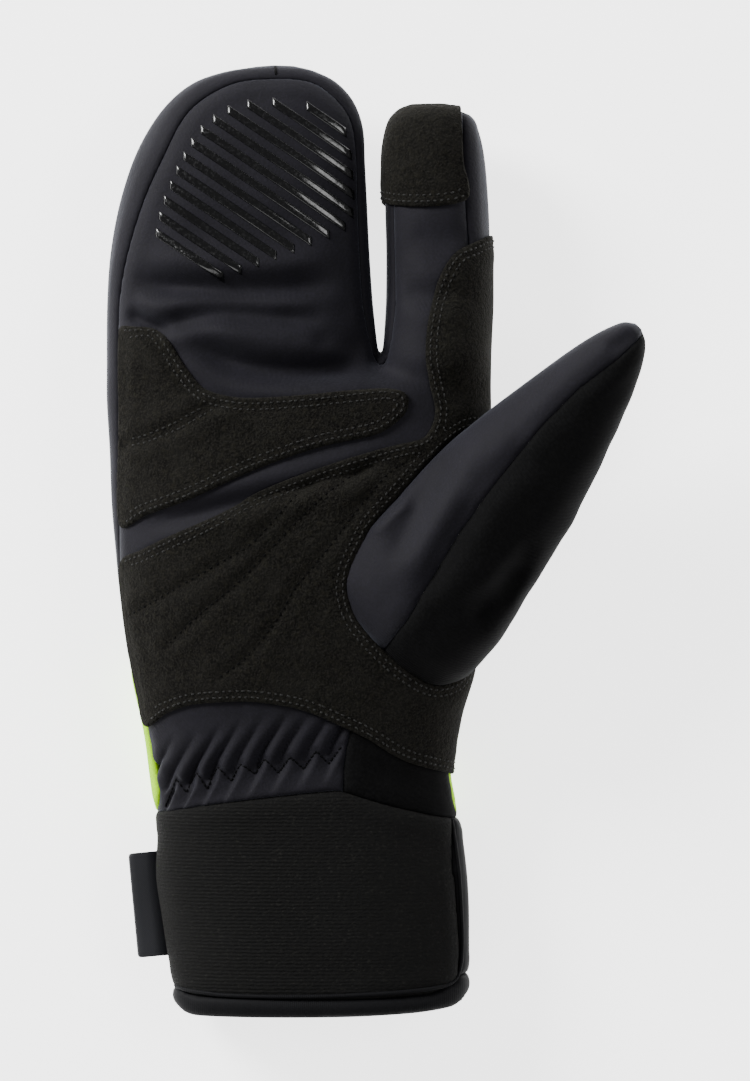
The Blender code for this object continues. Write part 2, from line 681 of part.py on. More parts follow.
def grip_stripe(number, tree, material):
    """One raised stripe of grip print, laid on the palm side of the three finger tube."""
    line, run, across, start, end = grip_outline(number)
    steps = max(STRIPE_LEAST_STEPS, ceil((end - start) / STRIPE_STEP))
    points, normals, quads = [], [], []
    for i in range(steps + 1):
        spot = line + run * (start + (end - start) * i / steps)
        for edge in (-0.5, 0.5):
            x, y = spot + across * edge * STRIPE_WIDTH
            hit, normal, _, _ = tree.ray_cast(Vector((x, y, 1.0)), Vector((0, 0, -1)))
            points.append(hit + normal * 2 * LAYER_GAP)
            normals.append(normal)
    for i in range(steps):
        quads.append((2 * i, 2 * i + 1, 2 * i + 3, 2 * i + 2))
    triangles = split_quads(quads, [])
    points, normals = np.array(points), np.array(normals)
    flat = Surface(points + GRIP_WALL * normals, triangles, np.zeros(len(points)), normals)
    return cloth(f"grip_stripe_{number + 1:02d}", flat, GRIP_WALL, material)


def label_tab(surface, material):
    """A folded woven tab that stands out from the left edge of the cuff."""
    y = LABEL_ALONG * LENGTH
    near = surface.points[np.abs(surface.points[:, 1] - y) < LABEL_LENGTH / 2]
    edge = near[near[:, 0] < near[:, 0].min() + LABEL_BAND]
    x = np.polyval(np.polyfit(edge[:, 1], edge[:, 0], 1), y)
    lean = np.array([sin(LABEL_LEAN), -cos(LABEL_LEAN)])
    out = np.array([-cos(LABEL_LEAN), -sin(LABEL_LEAN)])
    centre = np.array([x, y]) + out * (LABEL_REACH / 2 + 7 * LAYER_GAP)
    edge = edge.mean(axis=0)
    corners = []
    for z in (-LABEL_THICKNESS / 2, LABEL_THICKNESS / 2):
        for a, b in ((-1, -1), (1, -1), (1, 1), (-1, 1)):
            spot = centre + out * a * LABEL_REACH / 2 + lean * b * LABEL_LENGTH / 2
            corners.append((*spot, edge[2] + z))
    faces = [(0, 3, 2, 1), (4, 5, 6, 7), (0, 1, 5, 4), (1, 2, 6, 5), (2, 3, 7, 6), (3, 0, 4, 7)]
    return solid_panel("label_tab", corners, faces, material)


def build():
    clear_scene()
    navy = finish("softshell", (0.022, 0.022, 0.030), 0.72)
    black = finish("black_softshell", (0.010, 0.010, 0.011), 0.70)
    suede = finish("suede", (0.014, 0.014, 0.011), 0.90)
    bright = finish("bright_softshell", (0.62, 0.95, 0.02), 0.65)
    knit = finish("knit", (0.014, 0.014, 0.012), 0.92)
    tape = finish("binding", (0.014, 0.014, 0.018), 0.55)
    print_film = finish("grip_film", (0.010, 0.010, 0.011), 0.25)
    woven = finish("woven_label", (0.012, 0.013, 0.020), 0.60)

    coarse = hand_surface(Cells(mitt=10, index=6, web=2, step=0.047))
    fine = lifted(hand_surface(Cells(mitt=24, index=6, web=3, step=0.019)), -LAYER_GAP)
    thumb = thumb_surface(Cells(mitt=18, index=0, web=0, step=0.11))
    thumb_tree = tree_of(thumb)

    def off_thumb(surface):
        """Distance outside the thumb, so that the palm is open into it."""
        return distance_to(thumb_tree, surface.points) - SEAM_GAP

    def on_face(surface):
        return np.minimum(inside(surface.points, PALM_SEAM), palm_side(surface))

    def off_face(surface):
        return -on_face(surface)

    def side_band(sign):
        """A cut that keeps the band round the edge, or what lies below it when sign is -1."""
        return lambda surface: sign * (surface.side - BAND_LOW) * PALM_DEPTH / 2

    def well_on_face(surface):
        """Clear of the panels beside it, whose coarser rims cut its corners."""
        return on_face(surface) - 3 * LAYER_GAP

    panels = (
        ("back_shell", coarse,
         (over(CUFF_TOP), off_face, over(BACK_YOKE), over(KNUCKLE_SEAM, -1), off_thumb),
         SHELL_WALL, navy),
        ("three_finger_back", coarse,
         (over(KNUCKLE_SEAM), off_face, beyond(FINGER_FORK, -1), side_band(-1)),
         SHELL_WALL, navy),
        ("three_finger_side", coarse,
         (over(KNUCKLE_SEAM), off_face, beyond(FINGER_FORK, -1), side_band(1)),
         SHELL_WALL, navy),
        ("index_finger_back", coarse, (over(KNUCKLE_SEAM), off_face, beyond(FINGER_FORK)),
         SHELL_WALL, navy),
        ("back_wrist_panel", coarse, (over(CUFF_TOP), off_face, over(BACK_YOKE, -1), off_thumb),
         SHELL_WALL, bright),
        ("palm_shell", coarse, (over(CUFF_TOP), on_face, over(WRIST_TOP), off_thumb),
         SHELL_WALL, navy),
        ("wrist_gather_panel", fine,
         (over(CUFF_TOP), well_on_face, over(WRIST_TOP, -1), beyond(SIDE_PANEL_SEAM, -1)),
         SHELL_WALL, navy),
        ("wrist_side_panel", coarse,
         (over(CUFF_TOP), on_face, over(WRIST_TOP, -1), beyond(SIDE_PANEL_SEAM), off_thumb),
         SHELL_WALL, black),
        ("cuff_sleeve", coarse, (over(CUFF_TOP, -1), over(HEM_TOP), beyond(CUFF_EDGE, -1)),
         CUFF_WALL, knit),
        ("cuff_side_binding", coarse, (over(CUFF_TOP, -1), over(HEM_TOP), beyond(CUFF_EDGE)),
         CUFF_WALL, tape),
        ("hem_binding", coarse, (over(HEM_TOP, -1), over(HEM_END)), HEM_WALL, tape),
    )
    for name, surface, cuts, wall, material in panels:
        cloth(name, sewn(surface, *cuts), wall, material)

    def suede_patch(name, outline, wrap):
        """A suede layer on the palm side, turned round the edge right of the wrap line."""
        def within(surface):
            return inside(surface.points, outline)

        def reach(surface):
            turned = np.where(surface.points[:, 0] > wrap * PALM_WIDTH, EDGE_WRAP, 0.0)
            return palm_side(surface) + turned

        patch = sewn(lifted(coarse, LAYER_GAP + SUEDE_WALL), within, reach, off_thumb)
        cloth(name, patch, SUEDE_WALL, suede)

    suede_patch("palm_patch", PALM_PATCH, wrap=0.25)
    suede_patch("knuckle_patch", KNUCKLE_PATCH, wrap=1.0)
    suede_patch("fingertip_patch", FINGERTIP_PATCH, wrap=0.20)

    trunk_tree = tree_of(closed_hem(coarse))

    def off_trunk(surface):
        return distance_to(trunk_tree, surface.points) - SUEDE_WALL - 2 * LAYER_GAP

    def before_ridge(surface):
        return -thumb_ridge(surface)

    cloth("thumb_front_panel", sewn(thumb, off_trunk, before_ridge), SHELL_WALL, navy)
    cloth("thumb_side_panel", sewn(thumb, off_trunk, thumb_ridge), SHELL_WALL, black)

    mitt_tree = tree_of(coarse)
    for number in range(STRIPE_COUNT):
        grip_stripe(number, mitt_tree, print_film)
    label_tab(coarse, woven)
    settle_origin()


def thumb_ridge(thumb):
    """Distance past the thumb's two long seams, above zero on the half away from the palm."""
    along, across, sine = thumb.side.T
    seam = np.interp(along, *np.array(THUMB_SEAM).T) * THUMB_WIDTH
    under = -0.10 * THUMB_WIDTH * (1 - along) ** 0.5
    share = smooth((sine + 0.5) / 1.0)
    return across - seam * share - under * (1 - share)


def closed_hem(surface):
    """The surface with its open hem closed by a fan, so that inside and outside differ."""
    centre = len(surface.points)
    rim = rim_of(surface.triangles)
    middle = surface.points[rim[:, 0]].mean(axis=0)
    fan = np.array([(b, a, centre) for a, b in rim])
    return surface._replace(points=np.vstack([surface.points, middle]),
                            triangles=np.vstack([surface.triangles, fan]))


def settle_origin():
    """Moves every panel so that the origin is under the middle of the mitt."""
    bpy.context.view_layer.update()
    graph = bpy.context.evaluated_depsgraph_get()
    corners = []
    for panel in bpy.context.scene.objects:
        solid = panel.evaluated_get(graph)
        corners += [solid.matrix_world @ Vector(corner) for corner in solid.bound_box]
    corners = np.array(corners)
    low, high = corners.min(axis=0), corners.max(axis=0)
    for panel in bpy.context.scene.objects:
        panel.location = Vector((-(low[0] + high[0]) / 2, -(low[1] + high[1]) / 2, -low[2]))


build()
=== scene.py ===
from collections import namedtuple
from functools import cache
from math import ceil, cos, pi, radians, sin, sqrt, tau

import bpy
import numpy as np
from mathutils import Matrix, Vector
from mathutils.bvhtree import BVHTree
from mathutils.kdtree import KDTree


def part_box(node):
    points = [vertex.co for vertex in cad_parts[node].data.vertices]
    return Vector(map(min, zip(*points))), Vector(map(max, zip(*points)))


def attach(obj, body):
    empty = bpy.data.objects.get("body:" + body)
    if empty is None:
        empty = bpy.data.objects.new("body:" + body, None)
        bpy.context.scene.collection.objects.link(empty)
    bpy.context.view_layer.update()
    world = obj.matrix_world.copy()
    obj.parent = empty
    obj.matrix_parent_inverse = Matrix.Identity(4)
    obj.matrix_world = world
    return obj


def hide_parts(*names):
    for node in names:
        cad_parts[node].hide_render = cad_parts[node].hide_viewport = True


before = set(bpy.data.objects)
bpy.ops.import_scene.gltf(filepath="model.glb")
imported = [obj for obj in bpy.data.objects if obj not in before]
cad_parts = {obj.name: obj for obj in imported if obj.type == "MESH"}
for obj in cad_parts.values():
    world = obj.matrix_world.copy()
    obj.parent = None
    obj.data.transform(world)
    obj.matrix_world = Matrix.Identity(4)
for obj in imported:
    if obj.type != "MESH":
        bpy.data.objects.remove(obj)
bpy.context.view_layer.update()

bl_info = {
    "name": "Lobster claw mitt",
    "version": (1, 0, 0),
    "blender": (4, 5, 0),
    "location": "3D View > Sidebar > Mitt",
    "description": "Sews a three compartment winter mitt panel by panel round its CAD solids",
    "category": "Object",
}

MM = 0.001
# The length of one wave in a wave texture of scale 1
WAVE_LENGTH = 0.314

# The pattern is laid out in shares of these sizes and then moved into the CAD frame.
LENGTH = 0.2844
PALM_WIDTH = 0.114
PALM_DEPTH = 0.042
THUMB_LENGTH = 0.1262
THUMB_WIDTH = 0.0535
THUMB_DEPTH = 0.038
THUMB_LEAN = radians(38.9)
SHIFT = np.array([-0.0222859, -0.1424153, 0.0000114])

# The thickness of the walls, and how far the thumb is tucked into the palm
SHELL_WALL = 0.0022
CUFF_WALL = 0.0026
HEM_WALL = 0.0034
THUMB_TUCK = 0.0010
LAYER_GAP = 0.0003
# Where the widest point of a section is, and how square the sections are
EQUATOR = 0.46
PALM_FULLNESS = 2.35
BACK_FULLNESS = 2.9
THUMB_FULLNESS = 0.92
# The fork between the fingers: its place, how far the tubes blend, and the gap that parts them
CROTCH = 0.6925
FORK_BLEND = 0.040
FORK_ANGLE = radians(14)
FORK_GAP = 0.0009
FORK_INSET = 0.003
EASE_REACH = 0.012
# How far a patch may reach round the right edge of the hand
WRAP_REACH = 0.010
# The stretches of LENGTH that the two strips of the wrist cover
WRIST_SPAN = (0.185, 0.372)
CUFF_SPAN = (-0.018, 0.262)

# Sections of the trunk and of both finger tubes: the share of LENGTH, the left and right
# edges as shares of PALM_WIDTH, and the palm and the back as shares of PALM_DEPTH
TRUNK = (
    (-0.020, -0.318, 0.444, 0.74, -0.03), (0.030, -0.334, 0.444, 0.76, -0.03),
    (0.075, -0.354, 0.445, 0.78, -0.03), (0.140, -0.377, 0.442, 0.80, -0.03),
    (0.195, -0.378, 0.424, 0.82, -0.03), (0.255, -0.394, 0.398, 0.84, -0.03),
    (0.310, -0.415, 0.416, 0.90, -0.03), (0.365, -0.445, 0.452, 0.96, -0.03),
    (0.437, -0.470, 0.470, 1.01, -0.03), (0.510, -0.487, 0.482, 1.03, -0.03),
    (0.590, -0.500, 0.491, 1.00, -0.03), (0.650, -0.508, 0.494, 0.96, -0.03),
    (0.700, -0.509, 0.494, 0.94, -0.03),
)
MITT = (
    (0.600, -0.501, 0.212, 0.97, -0.03), (0.660, -0.507, 0.212, 0.94, -0.03),
    (0.700, -0.509, 0.207, 0.92, -0.03), (0.753, -0.507, 0.192, 0.90, -0.01),
    (0.797, -0.500, 0.185, 0.90, 0.03), (0.848, -0.478, 0.179, 0.88, 0.09),
    (0.895, -0.442, 0.172, 0.86, 0.16), (0.933, -0.396, 0.167, 0.82, 0.23),
    (0.960, -0.347, 0.145, 0.77, 0.29), (0.981, -0.283, 0.102, 0.71, 0.35),
    (0.993, -0.206, 0.046, 0.65, 0.42), (0.999, -0.120, -0.010, 0.58, 0.50),
)
INDEX = (
    (0.600, 0.213, 0.490, 0.96, -0.03), (0.660, 0.213, 0.494, 0.92, -0.03),
    (0.700, 0.219, 0.496, 0.87, -0.03), (0.753, 0.229, 0.500, 0.80, -0.01),
    (0.800, 0.229, 0.501, 0.77, 0.02), (0.850, 0.226, 0.499, 0.76, 0.05),
    (0.892, 0.226, 0.492, 0.75, 0.09), (0.918, 0.230, 0.482, 0.74, 0.13),
    (0.938, 0.242, 0.466, 0.71, 0.18), (0.949, 0.262, 0.448, 0.66, 0.25),
    (0.9545, 0.290, 0.422, 0.59, 0.33),
)
# The thumb's sections: the share of THUMB_LENGTH, half its width, its depth, and the height
# of its middle as a share of PALM_DEPTH
THUMB = (
    (0.000, 0.12, 0.12, 0.66), (0.020, 0.28, 0.42, 0.69), (0.065, 0.42, 0.76, 0.74),
    (0.130, 0.488, 0.90, 0.78), (0.240, 0.494, 0.95, 0.82), (0.370, 0.450, 0.93, 0.85),
    (0.500, 0.411, 0.88, 0.88), (0.630, 0.352, 0.79, 0.92), (0.760, 0.275, 0.67, 0.96),
    (0.860, 0.213, 0.56, 0.99), (0.930, 0.150, 0.42, 1.01), (0.975, 0.088, 0.26, 1.02),
    (0.996, 0.030, 0.08, 1.02),
)
THUMB_ROOT = (0.190, 0.378)
UNDER_SEAM = -0.10
THUMB_SEAM = (
    (0.00, 0.025), (0.12, 0.020), (0.22, -0.018), (0.36, -0.062), (0.50, -0.080),
    (0.67, -0.078), (0.79, -0.050), (0.90, 0.015), (1.00, 0.050),
)

# Seam lines seen from above, as shares of PALM_WIDTH and LENGTH
PALM_SEAM = (
    (-0.374, 0.190), (-0.375, 0.235), (-0.386, 0.260), (-0.396, 0.285), (-0.406, 0.310),
    (-0.424, 0.345), (-0.446, 0.390), (-0.471, 0.445), (-0.476, 0.520), (-0.478, 0.640),
    (-0.477, 0.742), (-0.457, 0.794), (-0.413, 0.852), (-0.362, 0.898), (-0.290, 0.951),
    (-0.179, 0.980), (-0.060, 0.986), (0.036, 0.982), (0.108, 0.961), (0.143, 0.937),
    (0.155, 0.900), (0.160, 0.830), (0.172, 0.750), (0.196, 0.702), (0.214, 0.686),
    (0.232, 0.702), (0.247, 0.750), (0.243, 0.850), (0.247, 0.915), (0.262, 0.945),
    (0.300, 0.985), (0.420, 0.985), (0.433, 0.905), (0.440, 0.850), (0.452, 0.780),
    (0.462, 0.700), (0.462, 0.600), (0.448, 0.480), (0.428, 0.360), (0.412, 0.310),
    (0.395, 0.265), (0.406, 0.228), (0.416, 0.190), (0.000, 0.170),
)
LEFT_SEAM = PALM_SEAM[:14]
KNUCKLE_PATCH = (
    (-0.474, 0.722), (-0.430, 0.725), (-0.372, 0.722), (-0.335, 0.706), (-0.290, 0.678),
    (-0.240, 0.657), (-0.140, 0.648), (0.020, 0.652), (0.130, 0.657), (0.230, 0.660),
    (0.278, 0.655), (0.288, 0.644), (0.274, 0.630), (0.210, 0.612), (0.050, 0.597),
    (-0.134, 0.571), (-0.285, 0.542), (-0.400, 0.526), (-0.474, 0.516), (-0.475, 0.620),
)
PALM_PATCH = (
    (-0.472, 0.478), (-0.415, 0.490), (-0.315, 0.509), (-0.210, 0.528), (-0.103, 0.549),
    (0.018, 0.569), (0.138, 0.586), (0.258, 0.600), (0.325, 0.607), (0.352, 0.622),
    (0.358, 0.640), (0.340, 0.668), (0.330, 0.690), (0.334, 0.722), (0.352, 0.756),
    (0.378, 0.784), (0.410, 0.802), (0.460, 0.812), (0.560, 0.822), (0.600, 0.600),
    (0.560, 0.360), (0.470, 0.250), (0.394, 0.256), (0.300, 0.266), (0.245, 0.276),
    (0.183, 0.292), (0.096, 0.309), (0.010, 0.323), (-0.080, 0.330), (-0.160, 0.332),
    (-0.280, 0.328), (-0.350, 0.318), (-0.408, 0.304), (-0.428, 0.335), (-0.452, 0.385),
    (-0.470, 0.440),
)
FINGERTIP_PATCH = (
    (0.216, 0.856), (0.212, 0.915), (0.212, 0.960), (0.240, 1.000), (0.410, 1.000),
    (0.427, 0.948), (0.432, 0.900), (0.437, 0.856),
)
CUFF_TOP = (
    (-0.600, 0.204), (-0.376, 0.214), (-0.240, 0.223), (-0.115, 0.230), (0.015, 0.236),
    (0.096, 0.2385), (0.122, 0.237), (0.183, 0.229), (0.276, 0.219), (0.397, 0.209),
    (0.600, 0.200),
)
HEM_TOP = (
    (-0.600, 0.033), (-0.333, 0.028), (-0.280, 0.022), (0.100, 0.019), (0.340, 0.024),
    (0.405, 0.034), (0.430, 0.042), (0.600, 0.046),
)
HEM_END = (
    (-0.400, 0.024), (-0.330, 0.010), (-0.300, 0.002), (-0.260, 0.000), (0.100, 0.0005),
    (0.300, 0.004), (0.400, 0.009), (0.428, 0.014), (0.443, 0.021), (0.460, 0.026),
)
CUFF_EDGE = (
    (0.421, 0.000), (0.422, 0.045), (0.425, 0.070), (0.417, 0.118), (0.412, 0.144),
    (0.406, 0.155), (0.406, 0.215), (0.406, 0.300),
)
BACK_YOKE = (
    (-0.600, 0.370), (-0.450, 0.368), (-0.300, 0.405), (-0.050, 0.440), (0.180, 0.405),
    (0.330, 0.320), (0.420, 0.258), (0.600, 0.250),
)
SIDE_PANEL_SEAM = ((0.116, 0.240), (0.122, 0.270), (0.135, 0.301), (0.150, 0.330))
WRIST_TOP = (
    (-0.600, 0.322), (-0.420, 0.322), (-0.350, 0.330), (-0.280, 0.338), (-0.160, 0.342),
    (-0.080, 0.340), (0.010, 0.333), (0.096, 0.320), (0.183, 0.302), (0.245, 0.287),
    (0.300, 0.277), (0.394, 0.268), (0.600, 0.262),
)

# How far in from a patch's rim its two stitched rows and its quilting lie, in millimetres
STITCH_ROWS = (1.6, 3.4)
QUILT_MARGIN = 4.8

# The grip print
STRIPE_WIDTH = 0.0024
STRIPE_PITCH = 0.0047
STRIPE_SLOPE = radians(-34)
GRIP_CORNER = (0.019, 0.9557)
GRIP_ENDS = (
    (0.000, 0.128), (-0.079, 0.173), (-0.131, 0.206), (-0.165, 0.237), (-0.183, 0.262),
    (-0.194, 0.264), (-0.196, 0.242), (-0.192, 0.213), (-0.186, 0.187), (-0.178, 0.159),
    (-0.170, 0.132), (-0.157, 0.106), (-0.140, 0.078),
)

# Creases in the cloth, in millimetres of the CAD frame: a line seen from above, how wide and
# how deep the valley is, and how high the cloth swells beside it.
PALM_CREASES = (
    (((-75, 78), (-60, 75.5), (-35, 74.5), (-8, 77)), 3.6, 3.6, 1.0),
    (((-70, 63), (-48, 67), (-30, 66.5), (-12, 66)), 2.8, 2.6, 0.9),
    (((-56, 60), (-42, 53), (-24, 50.5), (-7, 52), (3, 55)), 3.4, 3.9, 1.2),
    (((-74.5, 68), (-66, 64), (-60, 60)), 2.4, 2.2, 0.6),
    (((-20, 60), (-6, 58), (2, 62)), 3.0, 1.4, 0.48),
    (((-74, 3), (-40, 11), (-5, 20), (14, 27)), 2.6, 1.8, 0.8),
    (((-60, 95), (-40, 90), (-14, 92)), 6.0, 0.9, 0.32),
    (((8, 75), (18, 72), (27, 76)), 3.2, 0.9, 0.48),
    (((10, 92), (20, 89), (30, 92)), 4.2, 0.75, 0.32),
)
THUMB_CREASES = (
    (((-4.5, 5), (-1, 7.5), (4, 12), (9, 16)), 2.2, 4.2, 1.4),
    (((4, -8), (10, 3), (18, 18), (24, 28)), 3.6, 1.7, 0.8),
    (((11, -20), (18, -8), (27, 6), (33, 16)), 3.8, 1.4, 0.64),
    (((27, -26), (36, -16), (43, -4)), 3.6, 1.7, 0.64),
    (((36, -22), (43, -10), (46, 2)), 3.0, 1.2, 0.48),
    (((30, 12), (40, 22), (47, 27)), 4.4, 0.9, 0.48),
    (((68, 55), (73, 58), (78, 61)), 2.2, 0.75, 0.32),
)
# Lines quilted through the palm patch, in the same millimetres
QUILT_LINES = (
    ((-72, -22), (-60.5, -15.5), (-46, -7), (-36, -1), (-22, 14), (-11, 22)),
    ((-61, -31), (-51.5, -22), (-40, -12.5), (-16, 12), (0.5, 23.5)),
    ((-46, -41), (-36.5, -33.5), (-27, -21), (-23.5, -14.5), (-15.5, -5), (4, 19.5), (16, 26)),
)
# Lines quilted through the knuckle patch
KNUCKLE_QUILT = (
    ((-75, 29.6), (-68.3, 31.0), (-59.3, 34.6), (-52.4, 38.4), (-46.5, 40.8)),
    ((-75, 27.7), (-67.8, 29.0), (-58.3, 32.7), (-51.4, 36.5), (-44.5, 40.4)),
)
# The zigzag that holds the elastic across the wrist
ZIGZAG = (
    (-62.5, -80.0), (-59, -71.3), (-56, -75.3), (-52.7, -69.3), (-49.7, -74.1), (-46.4, -67.5),
    (-42.5, -71.7), (-39.5, -66.6), (-35.3, -69.6), (-32.3, -65.1), (-28.4, -69.3),
    (-24.8, -64.5), (-20.9, -68.1), (-17.1, -62.7), (-13.4, -66.6), (-9.5, -61.2),
)
# Its pleats and tucks: how they lean and curl, how deep they are, how far they reach from the
# elastic, where they end to the left and right, and the groove the zigzag presses
PLEAT_LEAN, PLEAT_CURL = 0.52, 0.006
PLEAT_DEPTH, PLEAT_REACH = 2.9, 16.0
TUCK_DEPTH, TUCK_REACH = 1.3, 8.0
TUCK_FALL = 0.82
GATHER_LEFT, GATHER_RIGHT, GATHER_EDGE = -71.0, -9.0, 4.0
GROOVE_DEPTH, GROOVE_WIDTH = 0.8, 0.9
# The line of the elastic itself
ELASTIC = ((-72, -77), (-62.5, -75.2), (-50, -72), (-35, -68), (-20, -65.6), (-6, -62.5))
# The short seam across the crown of the three-finger compartment
CROWN_SEAM = ((-29.4, 142.2), (-29.3, 140.4), (-29.2, 138.4))
# The piping along the inside of the hem and side bindings
PIPING = (
    (-60.2, -133.6), (-56, -134.6), (-43.7, -135.7), (-16.2, -135.8), (10, -134.6),
    (19.5, -133.6), (23.6, -132.2), (25.6, -129.4), (26.4, -124.7), (26.5, -118), (26.2, -110.9),
    (25.5, -100), (24.3, -90.2), (23.3, -83.2),
)

# Sections in millimetres: along a stitch its radius and lift, across a grip stripe the share of
# its width and its height, and round the tab the share of its reach and its height
STITCH_PROFILE = ((-1.0, 0.30, -0.30), (-0.72, 0.80, 0.0), (0.0, 1.0, 0.12), (0.72, 0.80, 0.0),
                  (1.0, 0.30, -0.30))
STITCH_SIDES = 6
GRIP_PROFILE = ((-0.50, -0.10), (-0.47, 0.22), (-0.38, 0.42), (-0.15, 0.46), (0.15, 0.46),
                (0.38, 0.42), (0.47, 0.22), (0.50, -0.10))
TAB_PROFILE = ((-0.95, -0.42), (-0.2, -0.50), (0.2, -0.50), (0.42, -0.42), (0.50, 0.0),
               (0.42, 0.42), (0.2, 0.50), (-0.2, 0.50), (-0.95, 0.42))
# How far apart the rows of a grip stripe are, and how soon its ends taper off
GRIP_STEP = 0.8 * MM
GRIP_TAPER = 0.9 * MM
# The tab: how long it hangs, how it leans, how far it stands out and how many rows it has
TAB_LENGTH = 0.0315
TAB_LEAN = radians(5.3)
TAB_REACH = 0.0072
TAB_ROWS = 26
# The stage in metres
FLOOR_HALF = 16
FLOOR_HEIGHT = -0.0004
SKY_STRENGTH = 0.25
AIM_HEIGHT = 0.02
CAMERA_DISTANCE = 1.5
VIEW_WIDTH = 0.3243
SENSOR_WIDTH = 36.0  # millimetres
# Each light's name, place, size and power
LIGHTS = (
    ("key_light", (-1.15, 0.95, 0.75), 0.7, 62.0),
    ("fill_light", (0.95, 0.25, 1.2), 0.7, 9.0),
    ("low_light", (-0.5, -1.1, 0.8), 0.9, 6.0),
)

# How many points go round each half and each web, and how far apart the rings are
Cells = namedtuple("Cells", "mitt index web step")
HAND_CELLS = Cells(mitt=96, index=44, web=10, step=0.0036)
WRIST_CELLS = Cells(mitt=170, index=64, web=8, step=0.0020)
CUFF_CELLS = Cells(mitt=84, index=36, web=8, step=0.0030)
THUMB_CELLS = Cells(mitt=132, index=0, web=0, step=0.0090)
ROUGH_THUMB_CELLS = Cells(mitt=40, index=0, web=0, step=0.04)
Surface = namedtuple("Surface", "points triangles side normals")
MADE = {}


def smooth(share):
    share = np.clip(share, 0.0, 1.0)
    return share * share * (3.0 - 2.0 * share)


def unit(vectors):
    return vectors / np.maximum(np.linalg.norm(vectors, axis=-1, keepdims=True), 1e-12)


def hump(x, centre=0.0, width=1.0):
    """A bell: 1 at its centre, and almost nothing past twice its width."""
    return np.exp(-(((x - centre) / width) ** 2))


def swollen(wave, power):
    """A cosine or sine made squarer by a power below 1."""
    return np.sign(wave) * np.abs(wave) ** power


def travelled(line):
    """The distance along a line at each of its points."""
    return np.concatenate([[0.0], np.cumsum(np.linalg.norm(np.diff(line, axis=0), axis=1))])


def spline_rows(table, step, start=None, end=None):
    """Rows along a table of sections, on a smooth curve through it and about step apart."""
    rows = np.array(table, float)
    gaps = np.linalg.norm(np.diff(rows, axis=0), axis=1)
    spans = np.sqrt(gaps)
    knots = np.concatenate([[0.0], np.cumsum(spans)])
    slopes = np.gradient(rows, knots, axis=0)
    made = []
    for i, span in enumerate(np.diff(knots)):
        count = max(1, ceil((rows[i + 1, 0] - rows[i, 0]) / step), ceil(gaps[i] / (3 * step)))
        for t in np.arange(count) / count:
            h = smooth(t)
            made.append(
                rows[i] * (1 - h) + rows[i + 1] * h
                + span * (t * (1 - t) ** 2 * slopes[i] - t * t * (1 - t) * slopes[i + 1])
            )
    made = np.array([*made, rows[-1]])
    if start is not None:
        made = made[made[:, 0] > start + step / 4]
        made = np.vstack([at_along(table, start), made])
    if end is not None:
        made = made[made[:, 0] < end - step / 4]
        made = np.vstack([made, at_along(table, end)])
    return made


@cache
def fine_rows(table):
    return spline_rows(table, 0.004)


def at_along(table, along):
    fine = fine_rows(table)
    return np.array([np.interp(along, fine[:, 0], column) for column in fine.T])


def section_points(row, angles):
    """Points round one section in metres. Angle 0 is the right edge, a quarter turn the palm."""
    along, left, right, palm, back = row
    centre = (left + right) / 2 * PALM_WIDTH
    half = (right - left) / 2 * PALM_WIDTH
    palm, back = palm * PALM_DEPTH, back * PALM_DEPTH
    equator = back + EQUATOR * (palm - back)
    c, s = np.cos(angles), np.sin(angles)
    fullness = np.where(s >= 0, PALM_FULLNESS, BACK_FULLNESS)
    x = centre + half * swollen(c, 2 / fullness)
    reach = np.where(s >= 0, palm - equator, equator - back)
    z = equator + reach * swollen(s, 2 / fullness)
    y = np.full_like(x, along * LENGTH)
    return np.stack([x, y, np.maximum(z, 0.0)], axis=1) + SHIFT


def fork_rings(cells, start=None, end=CROTCH):
    """The rings of the trunk, which part into two lobes as they near the fork."""
    palm_index = np.linspace(0.0, 1.0, cells.index + 1)
    palm_mitt = np.linspace(0.0, 1.0, cells.mitt + 1)[1:]
    rings, sides = [], []
    for row in spline_rows(TRUNK, cells.step, start=start, end=end):
        along, left, right = row[:3]
        split = at_along(MITT, max(along, MITT[0][0]))[2] + FORK_INSET
        middle, half = (left + right) / 2, (right - left) / 2
        turn = np.arccos(((split - middle) / half) ** (PALM_FULLNESS / 2))
        upper = np.concatenate([palm_index * turn, turn + palm_mitt * (pi - turn)])
        angles = np.concatenate([upper, -upper[-2:0:-1]])
        ring, sines = section_points(row, angles), np.sin(angles)
        share = smooth((along - (CROTCH - FORK_BLEND)) / FORK_BLEND)
        if share > 0:
            lobes, lobe_sines = lobe_ring(along, cells)
            ring = ring * (1 - share) + lobes * share
            sines = sines * (1 - share) + lobe_sines * share
        rings.append(ring)
        sides.append(sines)
    return rings, sides


def lobe_ring(along, cells):
    """One ring round both finger tubes, with a shared point where they meet on each face."""
    index_turns, mitt_turns = index_angles(cells), mitt_angles(cells)
    mitt = section_points(at_along(MITT, along), mitt_turns)
    index = section_points(at_along(INDEX, along), index_turns)
    upper = index[: cells.index + 1].copy()
    upper[-1] = (index[cells.index] + mitt[0]) / 2
    lower = index[cells.index + cells.web:].copy()
    lower[0] = (lower[0] + mitt[2 * cells.mitt]) / 2
    turns = np.concatenate([index_turns[: cells.index + 1], mitt_turns[1: 2 * cells.mitt],
                            index_turns[cells.index + cells.web:]])
    return np.vstack([upper, mitt[1: 2 * cells.mitt], lower]), np.sin(turns)


def mitt_angles(cells):
    """Angles round the three-finger tube: both faces first, then the web beside the fork."""
    outer = np.linspace(FORK_ANGLE, tau - FORK_ANGLE, 2 * cells.mitt + 1)
    web = np.linspace(-FORK_ANGLE, FORK_ANGLE, cells.web + 1)[1:-1]
    return np.concatenate([np.where(outer > pi, outer - tau, outer), web])


